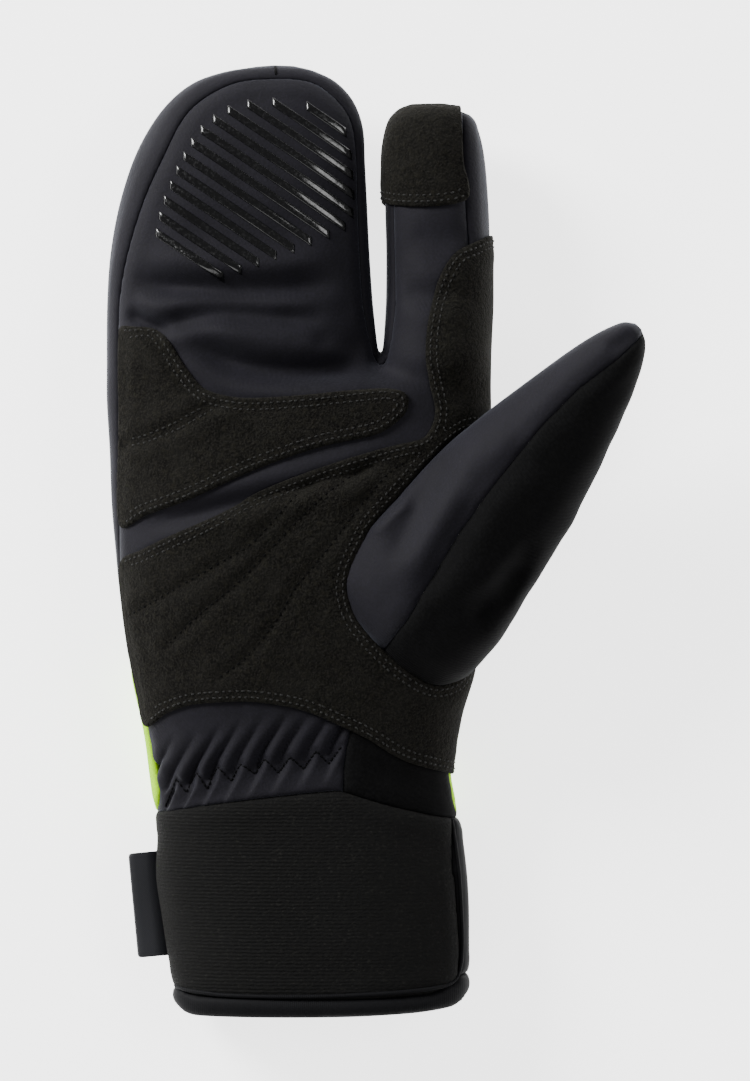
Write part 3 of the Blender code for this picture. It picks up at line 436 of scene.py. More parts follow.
def index_angles(cells):
    """Angles round the index tube: its palm, the web beside the fork, then its back."""
    palm = np.linspace(0.0, pi - FORK_ANGLE, cells.index + 1)
    web = np.linspace(pi - FORK_ANGLE, pi + FORK_ANGLE, cells.web + 1)[1:-1]
    back = np.linspace(pi + FORK_ANGLE, tau, cells.index + 1)[:-1]
    angles = np.concatenate([palm, web, back])
    return np.where(angles > pi, angles - tau, angles)


def band(low, high, closed=True):
    """The quads between two rows of point numbers."""
    if not closed:
        return np.stack([low[:-1], low[1:], high[1:], high[:-1]], axis=1)
    return np.stack([low, np.roll(low, -1), np.roll(high, -1), high], axis=1)


def ring_rows(count, ring, first=0):
    """The point numbers of count rings, one ring after another."""
    return [first + ring * i + np.arange(ring) for i in range(count)]


def bands(rows):
    return [band(low, high) for low, high in zip(rows, rows[1:])]


def tube_faces(count, ring, first=0):
    """The faces of a closed tube of count rings and its two caps."""
    rows = ring_rows(count, ring, first)
    quads = np.vstack(bands(rows))[:, ::-1]
    return [*quads.tolist(), rows[0].tolist(), rows[-1][::-1].tolist()]


def edges_of(triangles):
    return np.vstack([triangles[:, [0, 1]], triangles[:, [1, 2]], triangles[:, [2, 0]]])


def split_quads(quads, triangles=()):
    """Quads halved into triangles that face outwards, with other triangles turned the same way."""
    quads = np.vstack(quads)
    halves = [quads[:, [0, 2, 1]], quads[:, [0, 3, 2]]]
    if len(triangles):
        halves.append(np.array(triangles)[:, ::-1])
    return np.vstack(halves)


def wrist_strip(cells, start, end):
    """A strip of the trunk alone, for the panels that need closer points than the hand."""
    rings, sides = fork_rings(cells, start, end)
    triangles = split_quads(bands(ring_rows(len(rings), len(rings[0]))))
    return surface_of(np.vstack(rings), triangles, np.concatenate(sides))


@cache
def hand_surface(cells):
    """The outside of the trunk and both finger tubes, open at the hem."""
    points, side, quads, fans = [], [], [], []

    def add(ring, sines):
        start = sum(len(p) for p in points)
        points.append(ring)
        side.append(sines)
        return np.arange(start, start + len(ring))

    trunk = [add(ring, sines) for ring, sines in zip(*fork_rings(cells))]
    quads += bands(trunk)
    last = trunk[-1]
    firsts = []
    for table, angles in ((MITT, mitt_angles(cells)), (INDEX, index_angles(cells))):
        rows = spline_rows(table, cells.step, start=CROTCH + FORK_GAP / LENGTH)
        tube = [add(section_points(row, angles), np.sin(angles)) for row in rows]
        quads += bands(tube)
        tip = points[-1].mean(axis=0)[None]
        tip[0, 1] += FORK_GAP / 2
        end = add(tip, np.zeros(1))[0]
        ring = tube[-1]
        fans += [(a, b, end) for a, b in zip(ring, np.roll(ring, -1))]
        firsts.append(tube[0])
    mitt, index = firsts
    k, m, w = cells.index, cells.mitt, cells.web
    quads.append(band(last[k: k + 2 * m + 1], mitt[: 2 * m + 1], closed=False))
    around = np.concatenate([last[k + 2 * m:], last[: k + 1]])
    quads.append(band(around, np.concatenate([index[k + w:], index[: k + 1]]), closed=False))
    mitt_web = np.concatenate([mitt[2 * m:], mitt[:1]])
    index_web = index[k: k + w + 1][::-1]
    quads.append(np.stack([mitt_web[:-1], index_web[:-1], index_web[1:], mitt_web[1:]], axis=1))
    fans.append((last[k], mitt[0], index[k]))
    fans.append((last[k + 2 * m], index[k + w], mitt[2 * m]))
    triangles = split_quads(quads, fans)
    side = np.concatenate(side)
    points = eased(np.vstack(points), triangles)
    points = points - np.outer(smooth((side - 0.25) / 0.5) * creased(points, PALM_CREASES),
                               (0.0, 0.0, 1.0))
    return surface_of(points, triangles, side)


def eased(points, triangles, rounds=10):
    """The fork between the fingers relaxed, so that no ridge shows where the tubes join."""
    ends = edges_of(triangles)
    crotch = CROTCH * LENGTH + SHIFT[1]
    near = hump(points[:, 1], crotch, EASE_REACH)[:, None]
    for _ in range(rounds):
        total, count = np.zeros_like(points), np.zeros(len(points))
        np.add.at(total, ends[:, 0], points[ends[:, 1]])
        np.add.at(count, ends[:, 0], 1)
        points = points + near * 0.5 * (total / np.maximum(count, 1)[:, None] - points)
    return points


def line_distance(points, line):
    """Distance from points seen from above to a polyline, and the share of the way along it."""
    line = np.array(line, float)
    a, b = line[:-1], line[1:]
    run = b - a
    lengths = np.linalg.norm(run, axis=1)
    before = np.concatenate([[0], np.cumsum(lengths)[:-1]])
    found, share = np.empty(len(points)), np.empty(len(points))
    for start in range(0, len(points), 4000):
        p = points[start: start + 4000, None, :2]
        t = np.clip(((p - a) * run).sum(2) / (run * run).sum(1), 0, 1)
        distance = np.linalg.norm(p - a - t[..., None] * run, axis=2)
        best = distance.argmin(axis=1)
        row = np.arange(len(best))
        found[start: start + 4000] = distance[row, best]
        share[start: start + 4000] = (before[best] + t[row, best] * lengths[best]) / lengths.sum()
    return found, share


def creased(points, creases):
    """How far each point sinks into the creases, below zero where the cloth swells beside one."""
    sink = np.zeros(len(points))
    for line, spread, depth, swell in creases:
        distance, share = line_distance(points, rounded(np.array(line) * MM))
        ease = smooth(np.minimum(share, 1 - share) * 4.0)
        away = distance / (spread * MM)
        sink += ease * MM * (depth * hump(away) - swell * hump(away, 2.0))
    return sink


@cache
def thumb_surface(cells):
    """The outside of the whole thumb tube, with its root inside the palm."""
    angles = np.linspace(0, tau, cells.mitt, endpoint=False)
    heading = np.array([sin(THUMB_LEAN), cos(THUMB_LEAN)])
    aside = np.array([heading[1], -heading[0]])
    root = np.array([THUMB_ROOT[0] * PALM_WIDTH, THUMB_ROOT[1] * LENGTH])
    rings, sines = [], []
    for along, half, depth, rise in spline_rows(THUMB, cells.step):
        c, s = np.cos(angles), np.sin(angles)
        across = half * THUMB_WIDTH * swollen(c, THUMB_FULLNESS)
        up = depth * THUMB_DEPTH / 2 * swollen(s, THUMB_FULLNESS)
        plan = root + heading * along * THUMB_LENGTH + across[:, None] * aside
        rings.append(np.column_stack([plan, rise * PALM_DEPTH + up]))
        sines.append(np.column_stack([np.full_like(c, along), across, s]))
    points = np.vstack(rings) + SHIFT
    rows = ring_rows(len(rings), len(angles))
    first, last = len(points), len(points) + 1
    points = np.vstack([points, rings[0].mean(axis=0) + SHIFT, rings[-1].mean(axis=0) + SHIFT])
    caps = [(b, a, first) for a, b in zip(rows[0], np.roll(rows[0], -1))]
    caps += [(a, b, last) for a, b in zip(rows[-1], np.roll(rows[-1], -1))]
    side = np.vstack([*sines, [[0.0, 0.0, 0.0]], [[1.0, 0.0, 0.0]]])
    triangles = split_quads(bands(rows), caps)
    sink = creased(points, THUMB_CREASES) * smooth((side[:, 2] - 0.1) / 0.5)
    return surface_of(points - np.outer(sink, (0.0, 0.0, 1.0)), triangles, side)


def rounded(knots, closed=False, steps=6):
    """A smooth curve through knots."""
    knots = np.array(knots, float)
    made = []
    count = len(knots)
    for i in range(count if closed else count - 1):
        near = [i + j for j in (-1, 0, 1, 2)]
        p0, p1, p2, p3 = knots[np.mod(near, count) if closed else np.clip(near, 0, count - 1)]
        limit = np.linalg.norm(p2 - p1)
        m1, m2 = (m * min(1.0, limit / max(np.linalg.norm(m), 1e-9))
                  for m in ((p2 - p0) / 2, (p3 - p1) / 2))
        for t in np.arange(steps) / steps:
            h = smooth(t)
            made.append(p1 * (1 - h) + p2 * h + t * (1 - t) ** 2 * m1 - t * t * (1 - t) * m2)
    if not closed:
        made.append(knots[-1])
    return np.array(made)


def curve_points(outline, closed=False):
    return rounded(np.array(outline) * (PALM_WIDTH, LENGTH) + SHIFT[:2], closed)


def inside(points, outline):
    """Distance into a closed plan outline, below zero outside it."""
    curve = curve_points(outline, closed=True)
    distance = line_distance(points, np.vstack([curve, curve[:1]]))[0]
    odd = np.zeros(len(points), bool)
    x, y = points[:, 0], points[:, 1]
    for a, b in zip(curve, np.roll(curve, -1, axis=0)):
        if a[1] == b[1]:
            continue
        crossing = (y >= min(a[1], b[1])) & (y < max(a[1], b[1]))
        odd ^= crossing & (x < a[0] + (y - a[1]) / (b[1] - a[1]) * (b[0] - a[0]))
    return np.where(odd, distance, -distance)


def past(points, outline, axis):
    """How far points lie past a plan curve along x (axis 0) or y (axis 1)."""
    across, along = curve_points(outline).T[[1 - axis, axis]]
    return points[:, axis] - np.interp(points[:, 1 - axis], across, along)


def over(outline, sign=1):
    """A cut that keeps what is above a plan curve, or below it when sign is -1."""
    return lambda surface: sign * past(surface.points, outline, 1)


def beyond(outline, sign=1):
    """A cut that keeps what is right of a plan curve, or left of it when sign is -1."""
    return lambda surface: sign * past(surface.points, outline, 0)


def on_face(surface):
    return np.minimum(inside(surface.points, PALM_SEAM), surface.side * PALM_DEPTH / 2)


def off_face(surface):
    return -on_face(surface)


def signed_distance(tree, points):
    """Distance from a closed surface, below zero inside it."""
    found = np.empty(len(points))
    for i, p in enumerate(points):
        place, normal, _, distance = tree.find_nearest(Vector(p))
        found[i] = distance if (Vector(p) - place).dot(normal) >= 0 else -distance
    return found


def tree_of(surface):
    return BVHTree.FromPolygons(surface.points.tolist(), surface.triangles.tolist())


@cache
def thumb_tree():
    return tree_of(thumb_surface(ROUGH_THUMB_CELLS))


@cache
def trunk_tree():
    return tree_of(closed_hem(hand_surface(HAND_CELLS)))


def off_thumb(surface):
    """Distance outside the thumb, so that the palm is open into it."""
    return signed_distance(thumb_tree(), surface.points) - LAYER_GAP


def closed_hem(surface):
    """The surface with its open end covered by a fan."""
    centre = len(surface.points)
    rim = rim_of(surface.triangles)
    middle = surface.points[rim[:, 0]].mean(axis=0)
    fan = np.column_stack([rim[:, 1], rim[:, 0], np.full(len(rim), centre)])
    return surface._replace(points=np.vstack([surface.points, middle]),
                            triangles=np.vstack([surface.triangles, fan]))


def thumb_ridge(thumb):
    """Distance past the thumb's two long seams, above zero on the half away from the palm."""
    along, across, sine = thumb.side.T
    seam = np.interp(along, *np.array(THUMB_SEAM).T) * THUMB_WIDTH
    under = UNDER_SEAM * THUMB_WIDTH * (1 - along) ** 0.5
    share = smooth(sine + 0.5)
    return across - seam * share - under * (1 - share)


def sewn(surface, *cuts):
    """The surface cut down to one panel."""
    for cut in cuts:
        surface = clip(surface, cut(surface))
    return surface


def clip(surface, field, snap=0.15):
    """Keeps the part of a surface where field, one number a point, is above zero."""
    triangles, value = surface.triangles, np.array(field, float)
    data = np.hstack([surface.points, surface.normals, surface.side.reshape(len(value), -1)])
    ends = edges_of(triangles)
    ends = ends[value[ends[:, 0]] * value[ends[:, 1]] < 0]
    a, b = np.unique(np.sort(ends, axis=1), axis=0).T
    t = value[a] / (value[a] - value[b])
    near, far, share = np.where(t < 0.5, a, b), np.where(t < 0.5, b, a), np.minimum(t, 1 - t)
    order = np.argsort(-share)
    order = order[share[order] < snap]
    near, far, share = near[order], far[order], share[order]
    data[near] = data[near] + share[:, None] * (data[far] - data[near])
    value[near] = 0.0
    rows, cuts = list(data), {}

    def cut(i, j):
        key = (min(i, j), max(i, j))
        if key not in cuts:
            part = value[i] / (value[i] - value[j])
            cuts[key] = len(rows)
            rows.append(data[i] + part * (data[j] - data[i]))
        return cuts[key]

    corner = value[triangles]
    whole = (corner.min(axis=1) >= 0) & (corner.max(axis=1) > 0)
    made = []
    for triangle in triangles[(corner.min(axis=1) < 0) & (corner.max(axis=1) > 0)].tolist():
        polygon = []
        for i in range(3):
            p, q = triangle[i], triangle[(i + 1) % 3]
            if value[p] >= 0:
                polygon.append(p)
            if value[p] * value[q] < 0:
                polygon.append(cut(p, q))
        made += [(polygon[0], polygon[i], polygon[i + 1]) for i in range(1, len(polygon) - 1)]
    kept = np.vstack([triangles[whole], np.array(made).reshape(-1, 3)]).astype(int)
    used, index = np.unique(kept, return_inverse=True)
    rows = np.array(rows)[used]
    side = rows[:, 6] if surface.side.ndim == 1 else rows[:, 6:]
    return Surface(rows[:, :3], index.reshape(-1, 3), side, unit(rows[:, 3:6]))


def vertex_normals(points, triangles):
    corners = points[triangles]
    area = np.cross(corners[:, 1] - corners[:, 0], corners[:, 2] - corners[:, 0])
    normals = np.zeros_like(points)
    for i in range(3):
        np.add.at(normals, triangles[:, i], area)
    return unit(normals)


def surface_of(points, triangles, side):
    return Surface(points, triangles, side, vertex_normals(points, triangles))


def rim_of(triangles):
    """The edges with a triangle on one side only, in the direction that triangle runs."""
    ends = edges_of(triangles)
    size = triangles.max() + 1
    return ends[~np.isin(ends[:, 0] * size + ends[:, 1], ends[:, 1] * size + ends[:, 0])]


def kd_tree(points):
    tree = KDTree(len(points))
    for i, point in enumerate(points):
        tree.insert(point, i)
    tree.balance()
    return tree


def rim_distance(surface):
    """Distance of every point from the panel's rim."""
    rim = rim_of(surface.triangles)
    a, b = surface.points[rim[:, 0]], surface.points[rim[:, 1]]
    marks = np.vstack([a + (b - a) * t for t in (0.0, 0.25, 0.5, 0.75)])
    tree = kd_tree(marks)
    return np.array([tree.find(p)[2] for p in surface.points])


def ripples(points, size, seed, count=14):
    """Soft lumps about size across, between -1 and 1, the same every run."""
    draw = np.random.default_rng(seed)
    total = np.zeros(len(points))
    for _ in range(count):
        way = draw.normal(size=3)
        way *= tau / (size * draw.uniform(0.8, 1.9) * np.linalg.norm(way))
        total += np.sin(points @ way + draw.uniform(0, tau))
    return total / np.sqrt(count) / 1.6


def rolled(distance, width, drop):
    """How far the cloth sinks towards its rim, as a quarter round."""
    away = np.clip(1 - distance / width, 0, 1)
    return drop * (1 - np.sqrt(1 - away * away))


def new_object(name, points, faces, finish, nodes):
    mesh = bpy.data.meshes.new(name)
    mesh.from_pydata(np.asarray(points).tolist(), [], [tuple(f) for f in faces])
    mesh.validate()
    mesh.shade_smooth()
    mesh.materials.append(finish)
    piece = bpy.data.objects.new(name, mesh)
    bpy.context.scene.collection.objects.link(piece)
    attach(piece, "root")
    if nodes:
        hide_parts(*nodes)
    return piece


def cloth(name, surface, offset, wall, finish, nodes):
    """One closed panel: the surface moved by offset along its normals, and its underside."""
    count, triangles = len(surface.points), surface.triangles
    outer = surface.points + offset[:, None] * surface.normals
    outer[:, 2] = np.maximum(outer[:, 2], 0.0)
    under = surface.points - wall * surface.normals
    under[:, 2] = np.maximum(under[:, 2], 0.0)
    rim = rim_of(triangles)
    sides = np.column_stack([rim[:, 1], rim[:, 0], rim[:, 0] + count, rim[:, 1] + count])
    faces = [*triangles.tolist(), *(triangles[:, ::-1] + count).tolist(), *sides.tolist()]
    piece = new_object(name, np.vstack([outer, under]), faces, finish, nodes)
    MADE[name] = surface_of(outer, triangles, surface.side)
    return piece


def shell_offset(surface, seed, drop=0.9, width=2.6, lumps=0.16, size=16):
    """The relief of a plain shell panel: rolled at its seams, softly uneven between them."""
    distance = rim_distance(surface)
    puff = 0.25 * hump(distance / MM, 4.5, 2.2)
    uneven = lumps * ripples(surface.points, size * MM, seed) * smooth(distance / (4 * MM))
    return MM * (puff + uneven) - rolled(distance, width * MM, drop * MM)


def panel(name, surface, seed, finish, nodes, slot, wall=SHELL_WALL, lift=0.0, **relief):
    """Cloth with the relief of a plain panel, raised by lift millimetres."""
    offset = shell_offset(surface, seed, **relief) + lift * MM
    return cloth(name, surface, offset, wall, finish, nodes)


def suede_offset(surface, quilting, seed):
    """The relief of a suede patch: two stitched rows along its edge and its quilted lines."""
    distance = rim_distance(surface)
    d = distance / MM
    rows = sum(0.16 * hump(d, inset, 0.6) for inset in STITCH_ROWS)
    swell = 0.22 * hump(d, 6.5, 2.5)
    relief = swell - rows + 0.10 * ripples(surface.points, 9 * MM, seed) * smooth(d / 6)
    for line in quilting:
        away = line_distance(surface.points, rounded(np.array(line) * MM))[0] / MM
        relief += smooth(d / 4.5) * (0.28 * hump(away, 4.0, 2.0) - 0.62 * hump(away, 0.0, 1.2))
    return MM * relief - rolled(distance, 0.9 * MM, 0.55 * MM)


def gathered(surface):
    """The wrist panel drawn up by its elastic: pleats above the zigzag, tucks below it."""
    x, y = surface.points[:, 0] / MM, surface.points[:, 1] / MM
    line, zigzag = np.array(ELASTIC, float), np.array(ZIGZAG, float)
    up = y - np.interp(x, line[:, 0], line[:, 1])
    at_line = x - PLEAT_LEAN * up - PLEAT_CURL * up * np.abs(up)
    valleys, peaks = zigzag[2::2, 0], zigzag[1::2, 0]
    pleat = spaced(at_line + 0.5 * np.sin(0.35 * up), valleys)
    tuck = spaced(at_line, peaks)
    varied = 1.0 + 0.22 * np.sin(2.3 * np.round(pleat) + 0.5)
    valley = 1 - np.abs(np.sin(pi * pleat)) ** 0.8
    saw = tuck - np.floor(tuck)
    step = np.where(saw < TUCK_FALL, saw / TUCK_FALL, (1 - saw) / 0.18)
    above_line = (1 - smooth((up - 2.0) / PLEAT_REACH)) * PLEAT_DEPTH * varied * valley
    below_line = (1 - smooth((-up - 2.0) / TUCK_REACH)) * TUCK_DEPTH * step
    share = smooth((up + 1.2) / 2.4)
    across = (smooth((x - GATHER_LEFT) / GATHER_EDGE)
              * (1 - smooth((x - GATHER_RIGHT) / GATHER_EDGE)))
    away = line_distance(surface.points, zigzag * MM)[0] / MM
    groove = GROOVE_DEPTH * hump(away, 0.0, GROOVE_WIDTH)
    soft = 0.5 * hump(up, -8.0, 3.0)
    sink = across * (share * above_line + (1 - share) * below_line + groove) - soft
    return surface._replace(points=surface.points - MM * sink[:, None] * surface.normals)


def spaced(x, marks):
    """A number that passes one whole count at each mark, carried on evenly past the ends."""
    pitch = (marks[-1] - marks[0]) / (len(marks) - 1)
    first = [marks[0] - 4 * pitch, *marks, marks[-1] + 4 * pitch]
    return np.interp(x, first, [-4, *range(len(marks)), len(marks) + 3])


def contour(surface, field, level):
    """The lines on a surface where a field has one value, as lists of (point, normal)."""
    value = field - level
    links = {}
    corner = value[surface.triangles]
    for triangle in surface.triangles[(corner.min(axis=1) < 0) & (corner.max(axis=1) > 0)]:
        keys = []
        for i in range(3):
            p, q = int(triangle[i]), int(triangle[(i + 1) % 3])
            if value[p] * value[q] < 0:
                keys.append((min(p, q), max(p, q)))
        if len(keys) == 2:
            links.setdefault(keys[0], []).append(keys[1])
            links.setdefault(keys[1], []).append(keys[0])
    lines, seen = [], set()
    for start in sorted(links, key=lambda key: (len(links[key]), key)):
        if start in seen:
            continue
        chain, here = [], start
        while here is not None:
            seen.add(here)
            chain.append(here)
            here = next((key for key in links[here] if key not in seen), None)
        if len(chain) > 8:
            if start in links[chain[-1]]:
                chain.append(start)
            a, b = np.array(chain).T
            t = (value[a] / (value[a] - value[b]))[:, None]
            lines.append((surface.points[a] * (1 - t) + surface.points[b] * t,
                          unit(surface.normals[a] * (1 - t) + surface.normals[b] * t)))
    return lines


def shown(points, normals, seam, margin, tip):
    """The stretches of a stitch row that don't run along the outer seams of the mitt."""
    keep = past(points, seam, 0) > margin
    if tip:
        keep &= points[:, 1] < points[:, 1].min() + 2.6 * MM
    return kept(points, normals, keep)


def inland(points, normals, patch, margin):
    """The stretches of a stitch row that stay more than margin inside a patch's rim."""
    distance = rim_distance(patch)
    tree = kd_tree(patch.points)
    keep = [distance[tree.find(point)[1]] > margin for point in points]
    return kept(points, normals, keep)


def kept(points, normals, keep, least=5):
    """The stretches of a line where keep holds for at least so many points."""
    runs, start = [], None
    for i, wanted in enumerate([*keep, False]):
        if wanted and start is None:
            start = i
        elif not wanted and start is not None:
            if i - start >= least:
                runs.append((points[start:i], normals[start:i]))
            start = None
    return runs


def quilted(name, lines):
    """Quilting lines laid on a patch, short of the stitches round its rim."""
    patch, runs = MADE[name], []
    for line in lines:
        for run in laid_line(rounded(line), tree_of(patch)):
            runs += inland(*run, patch, QUILT_MARGIN * MM)
    return runs


def evenly(points, normals, pitch):
    """Places every pitch along a line: their points, tangents and normals."""
    along = travelled(points)
    if along[-1] < 2 * pitch:
        return None
    smoothed = points.copy()
    for _ in range(3):
        smoothed[1:-1] = (smoothed[:-2] + 2 * smoothed[1:-1] + smoothed[2:]) / 4
    count = int(along[-1] / pitch)
    marks = (np.arange(count) + 0.5) * along[-1] / count

    def at(values, places):
        return np.column_stack([np.interp(places, along, column) for column in values.T])

    here = at(smoothed, marks)
    tangent = unit(at(smoothed, marks + pitch / 3) - at(smoothed, marks - pitch / 3))
    return here, tangent, unit(at(normals, marks))


def dropped(tree, x, y):
    """Where a point dropped from above lands on a surface, and the normal there."""
    return tree.ray_cast(Vector((x, y, 1.0)), Vector((0, 0, -1)))[:2]


def laid_line(line, tree, step=0.35):
    """A line in millimetres seen from above, dropped on to a surface: point, normal pairs."""
    along = travelled(line)
    marks = np.arange(0, along[-1], step)
    x, y = (np.interp(marks, along, column) * MM for column in np.transpose(line))
    hits = [dropped(tree, *place) for place in zip(x, y)]
    keep = [hit is not None for hit, _ in hits]
    points, normals = (np.array([value or (0, 0, 0) for value in values]) for values in zip(*hits))
    return kept(points, normals, keep, least=7)


def joined(*surfaces):
    """Several surfaces as one, for casting on to."""
    starts = np.cumsum([0, *[len(s.points) for s in surfaces]])
    return surfaces[0]._replace(
        points=np.vstack([s.points for s in surfaces]),
        triangles=np.vstack([s.triangles + n for s, n in zip(surfaces, starts)]))


def relaxed_line(points, rounds=30):
    """A laid line eased over the seams that it crosses."""
    points = points.copy()
    for _ in range(rounds):
        points[1:-1, 2] = (points[:-2, 2] + 2 * points[1:-1, 2] + points[2:, 2]) / 4
    return points


def stitched(name, runs, finish, pitch=2.4, length=1.15, thickness=0.24):
    """Short thread stitches along runs of points, each dipping into the cloth at its ends."""
    rng = np.random.default_rng(7)
    turns = np.arange(STITCH_SIDES) * tau / STITCH_SIDES
    local = np.array([(u * length / 2, r * thickness * cos(a), h + r * thickness * sin(a))
                      for u, r, h in STITCH_PROFILE for a in turns]) * MM
    points, faces, count = [], [], 0
    for line in runs:
        places = evenly(*line, pitch * MM)
        if places is None:
            continue
        here, tangent, normal = places
        aside = unit(np.cross(normal, tangent))
        normal = np.cross(tangent, aside)
        loose = rng.uniform(-1, 1, (len(here), 3))
        here = here + 0.16 * MM * loose[:, :1] * tangent
        tangent = unit(tangent + 0.20 * loose[:, 1:2] * aside)
        length_share = (1 + 0.24 * loose[:, 2])[:, None, None]
        made = (here[:, None] + local[None, :, :1] * length_share * tangent[:, None]
                + local[None, :, 1:2] * aside[:, None] + local[None, :, 2:] * normal[:, None])
        points.append(made.reshape(-1, 3))
        for _ in here:
            faces += tube_faces(len(STITCH_PROFILE), STITCH_SIDES, count)
            count += len(local)
    return new_object(name, np.vstack(points), faces, finish, ())


def thread_tube(name, runs, finish, thickness=0.34, sides=7):
    """A continuous thread laid along runs of points."""
    points, faces, count = [], [], 0
    turns = np.arange(sides) * tau / sides
    for line, normals in runs:
        tangent = unit(np.gradient(line, axis=0))
        aside = unit(np.cross(normals, tangent))
        normal = np.cross(tangent, aside)
        for i, spot in enumerate(line):
            taper = min(1.0, 0.4 + i * 0.3, 0.4 + (len(line) - 1 - i) * 0.3)
            for a in turns:
                reach = thickness * MM * taper
                points.append(spot + reach * (cos(a) * aside[i] + (sin(a) + 0.25) * normal[i]))
        faces += tube_faces(len(line), sides, count)
        count += sides * len(line)
    return new_object(name, points, faces, finish, ())


class Wire:
    """A shader socket that Python's operators work on. Numbers and other wires may be mixed."""

    def __init__(self, finish, socket):
        self.finish, self.socket = finish, socket

    def math(self, operation, *others):
        values = dict(enumerate(others))
        return self.finish.add("ShaderNodeMath", {"operation": operation}, values)

    def __add__(self, other):
        return self.math("ADD", self, other)

    def __mul__(self, other):
        return self.math("MULTIPLY", self, other)

    __radd__, __rmul__ = __add__, __mul__


class Finish:
    """One procedural material. Distances in its nodes are in metres of the object."""

    def __init__(self, name, colour, roughness, **constants):
        self.material = bpy.data.materials.new(name)
        self.material.use_nodes = True
        self.tree = self.material.node_tree
        self.shader = self.tree.nodes["Principled BSDF"]
        self.shader.inputs["Base Color"].default_value = (*colour, 1.0)
        self.shader.inputs["Roughness"].default_value = roughness
        for socket, value in constants.items():
            self.shader.inputs[socket.replace("_", " ")].default_value = value
        self.place = self.add("ShaderNodeTexCoord", out="Object")

    def add(self, kind, settings=None, inputs=None, out=0):
        """Any node: its settings first, then the values or wires of its sockets."""
        node = self.tree.nodes.new(kind)
        for key, value in (settings or {}).items():
            setattr(node, key, value)
        for key, value in (inputs or {}).items():
            if isinstance(value, Wire):
                self.tree.links.new(value.socket, node.inputs[key])
            else:
                node.inputs[key].default_value = value
        return Wire(self, node.outputs[out])

    def noise(self, size, detail=3.0, stretch=(1, 1, 1)):
        """Noise with features about size metres across."""
        place = self.place
        if stretch != (1, 1, 1):
            place = self.add("ShaderNodeVectorMath", {"operation": "MULTIPLY"},
                             {0: place, 1: stretch})
        return self.add("ShaderNodeTexNoise", None,
                        {"Vector": place, "Scale": 1.0 / size, "Detail": detail})

    def ribs(self, pitch, direction="X", distortion=0.0):
        """Waves pitch metres apart."""
        return self.add("ShaderNodeTexWave", {"bands_direction": direction},
                        {"Vector": self.place, "Scale": WAVE_LENGTH / pitch,
                         "Distortion": distortion, "Detail": 1.0, "Detail Scale": 1.5},
                        out="Fac")

    def spread(self, wire, low, high):
        """A wire stretched so that low becomes 0 and high becomes 1."""
        return self.add("ShaderNodeMapRange", {"interpolation_type": "SMOOTHSTEP"},
                        {"Value": wire, "From Min": low, "From Max": high})

    def mix(self, share, first, second):
        """One colour turning into another."""
        first = first if isinstance(first, Wire) else (*first, 1.0)
        second = second if isinstance(second, Wire) else (*second, 1.0)
        return self.add("ShaderNodeMix", {"data_type": "RGBA"},
                        {0: share, 6: first, 7: second}, out=2)

    def bump(self, height, distance, strength=1.0, under=None):
        inputs = {"Height": height, "Distance": distance, "Strength": strength}
        if under is not None:
            inputs["Normal"] = under
        return self.add("ShaderNodeBump", None, inputs)

    def wear(self, **wires):
        """Feeds wires to the shader's own sockets."""
        for socket, wire in wires.items():
            self.tree.links.new(wire.socket, self.shader.inputs[socket.replace("_", " ")])
        return self.material


def settings():
    return bpy.context.scene.lobster_mitt


def scaled(colour, factor):
    return tuple(channel * factor for channel in colour)


@cache
def softshell():
    shell = settings().shell_colour
    f = Finish("softshell_knit", shell, 0.78, Sheen_Weight=0.15,
               Sheen_Roughness=0.36, Sheen_Tint=(0.55, 0.60, 0.74, 1.0), Specular_IOR_Level=0.16)
    broad, fine = f.noise(0.012, 4.0), f.noise(0.0008, 3.0)
    weave = f.ribs(0.0007, "DIAGONAL", 0.3)
    colour = f.mix(f.spread(fine, 0.35, 0.75) * 0.75 + f.spread(broad, 0.35, 0.7) * 0.25,
                   shell, scaled(shell, 1.9))
    height = weave * 0.16 + fine
    return f.wear(Base_Color=colour, Roughness=0.70 + fine * 0.16,
                  Normal=f.bump(height, 0.00016, 0.75, f.bump(broad, 0.0008, 0.35)))


@cache
def black_softshell():
    f = Finish("black_knit", (0.0020, 0.0020, 0.0021), 0.8, Sheen_Weight=0.01,
               Sheen_Roughness=0.4, Sheen_Tint=(0.55, 0.55, 0.6, 1.0), Specular_IOR_Level=0.06)
    fine, weave = f.noise(0.0009, 3.0), f.ribs(0.0008, "DIAGONAL", 0.6)
    colour = f.mix(f.spread(fine, 0.35, 0.75), (0.0015, 0.0015, 0.0016), (0.0034, 0.0034, 0.0036))
    return f.wear(Base_Color=colour, Roughness=0.70 + fine * 0.2,
                  Normal=f.bump(fine + weave * 0.4, 0.00016, 0.7))


@cache
def bright_softshell():
    colour = settings().bright_colour
    f = Finish("bright_knit", colour, 0.7, Specular_IOR_Level=0.04)
    fine, weave = f.noise(0.0006, 3.0), f.ribs(0.0008, "DIAGONAL", 0.5)
    shade = f.mix(f.spread(fine, 0.3, 0.75), scaled(colour, 0.82), colour)
    return f.wear(Base_Color=shade, Roughness=0.62 + fine * 0.2,
                  Normal=f.bump(fine + weave * 0.6, 0.00018, 0.8))


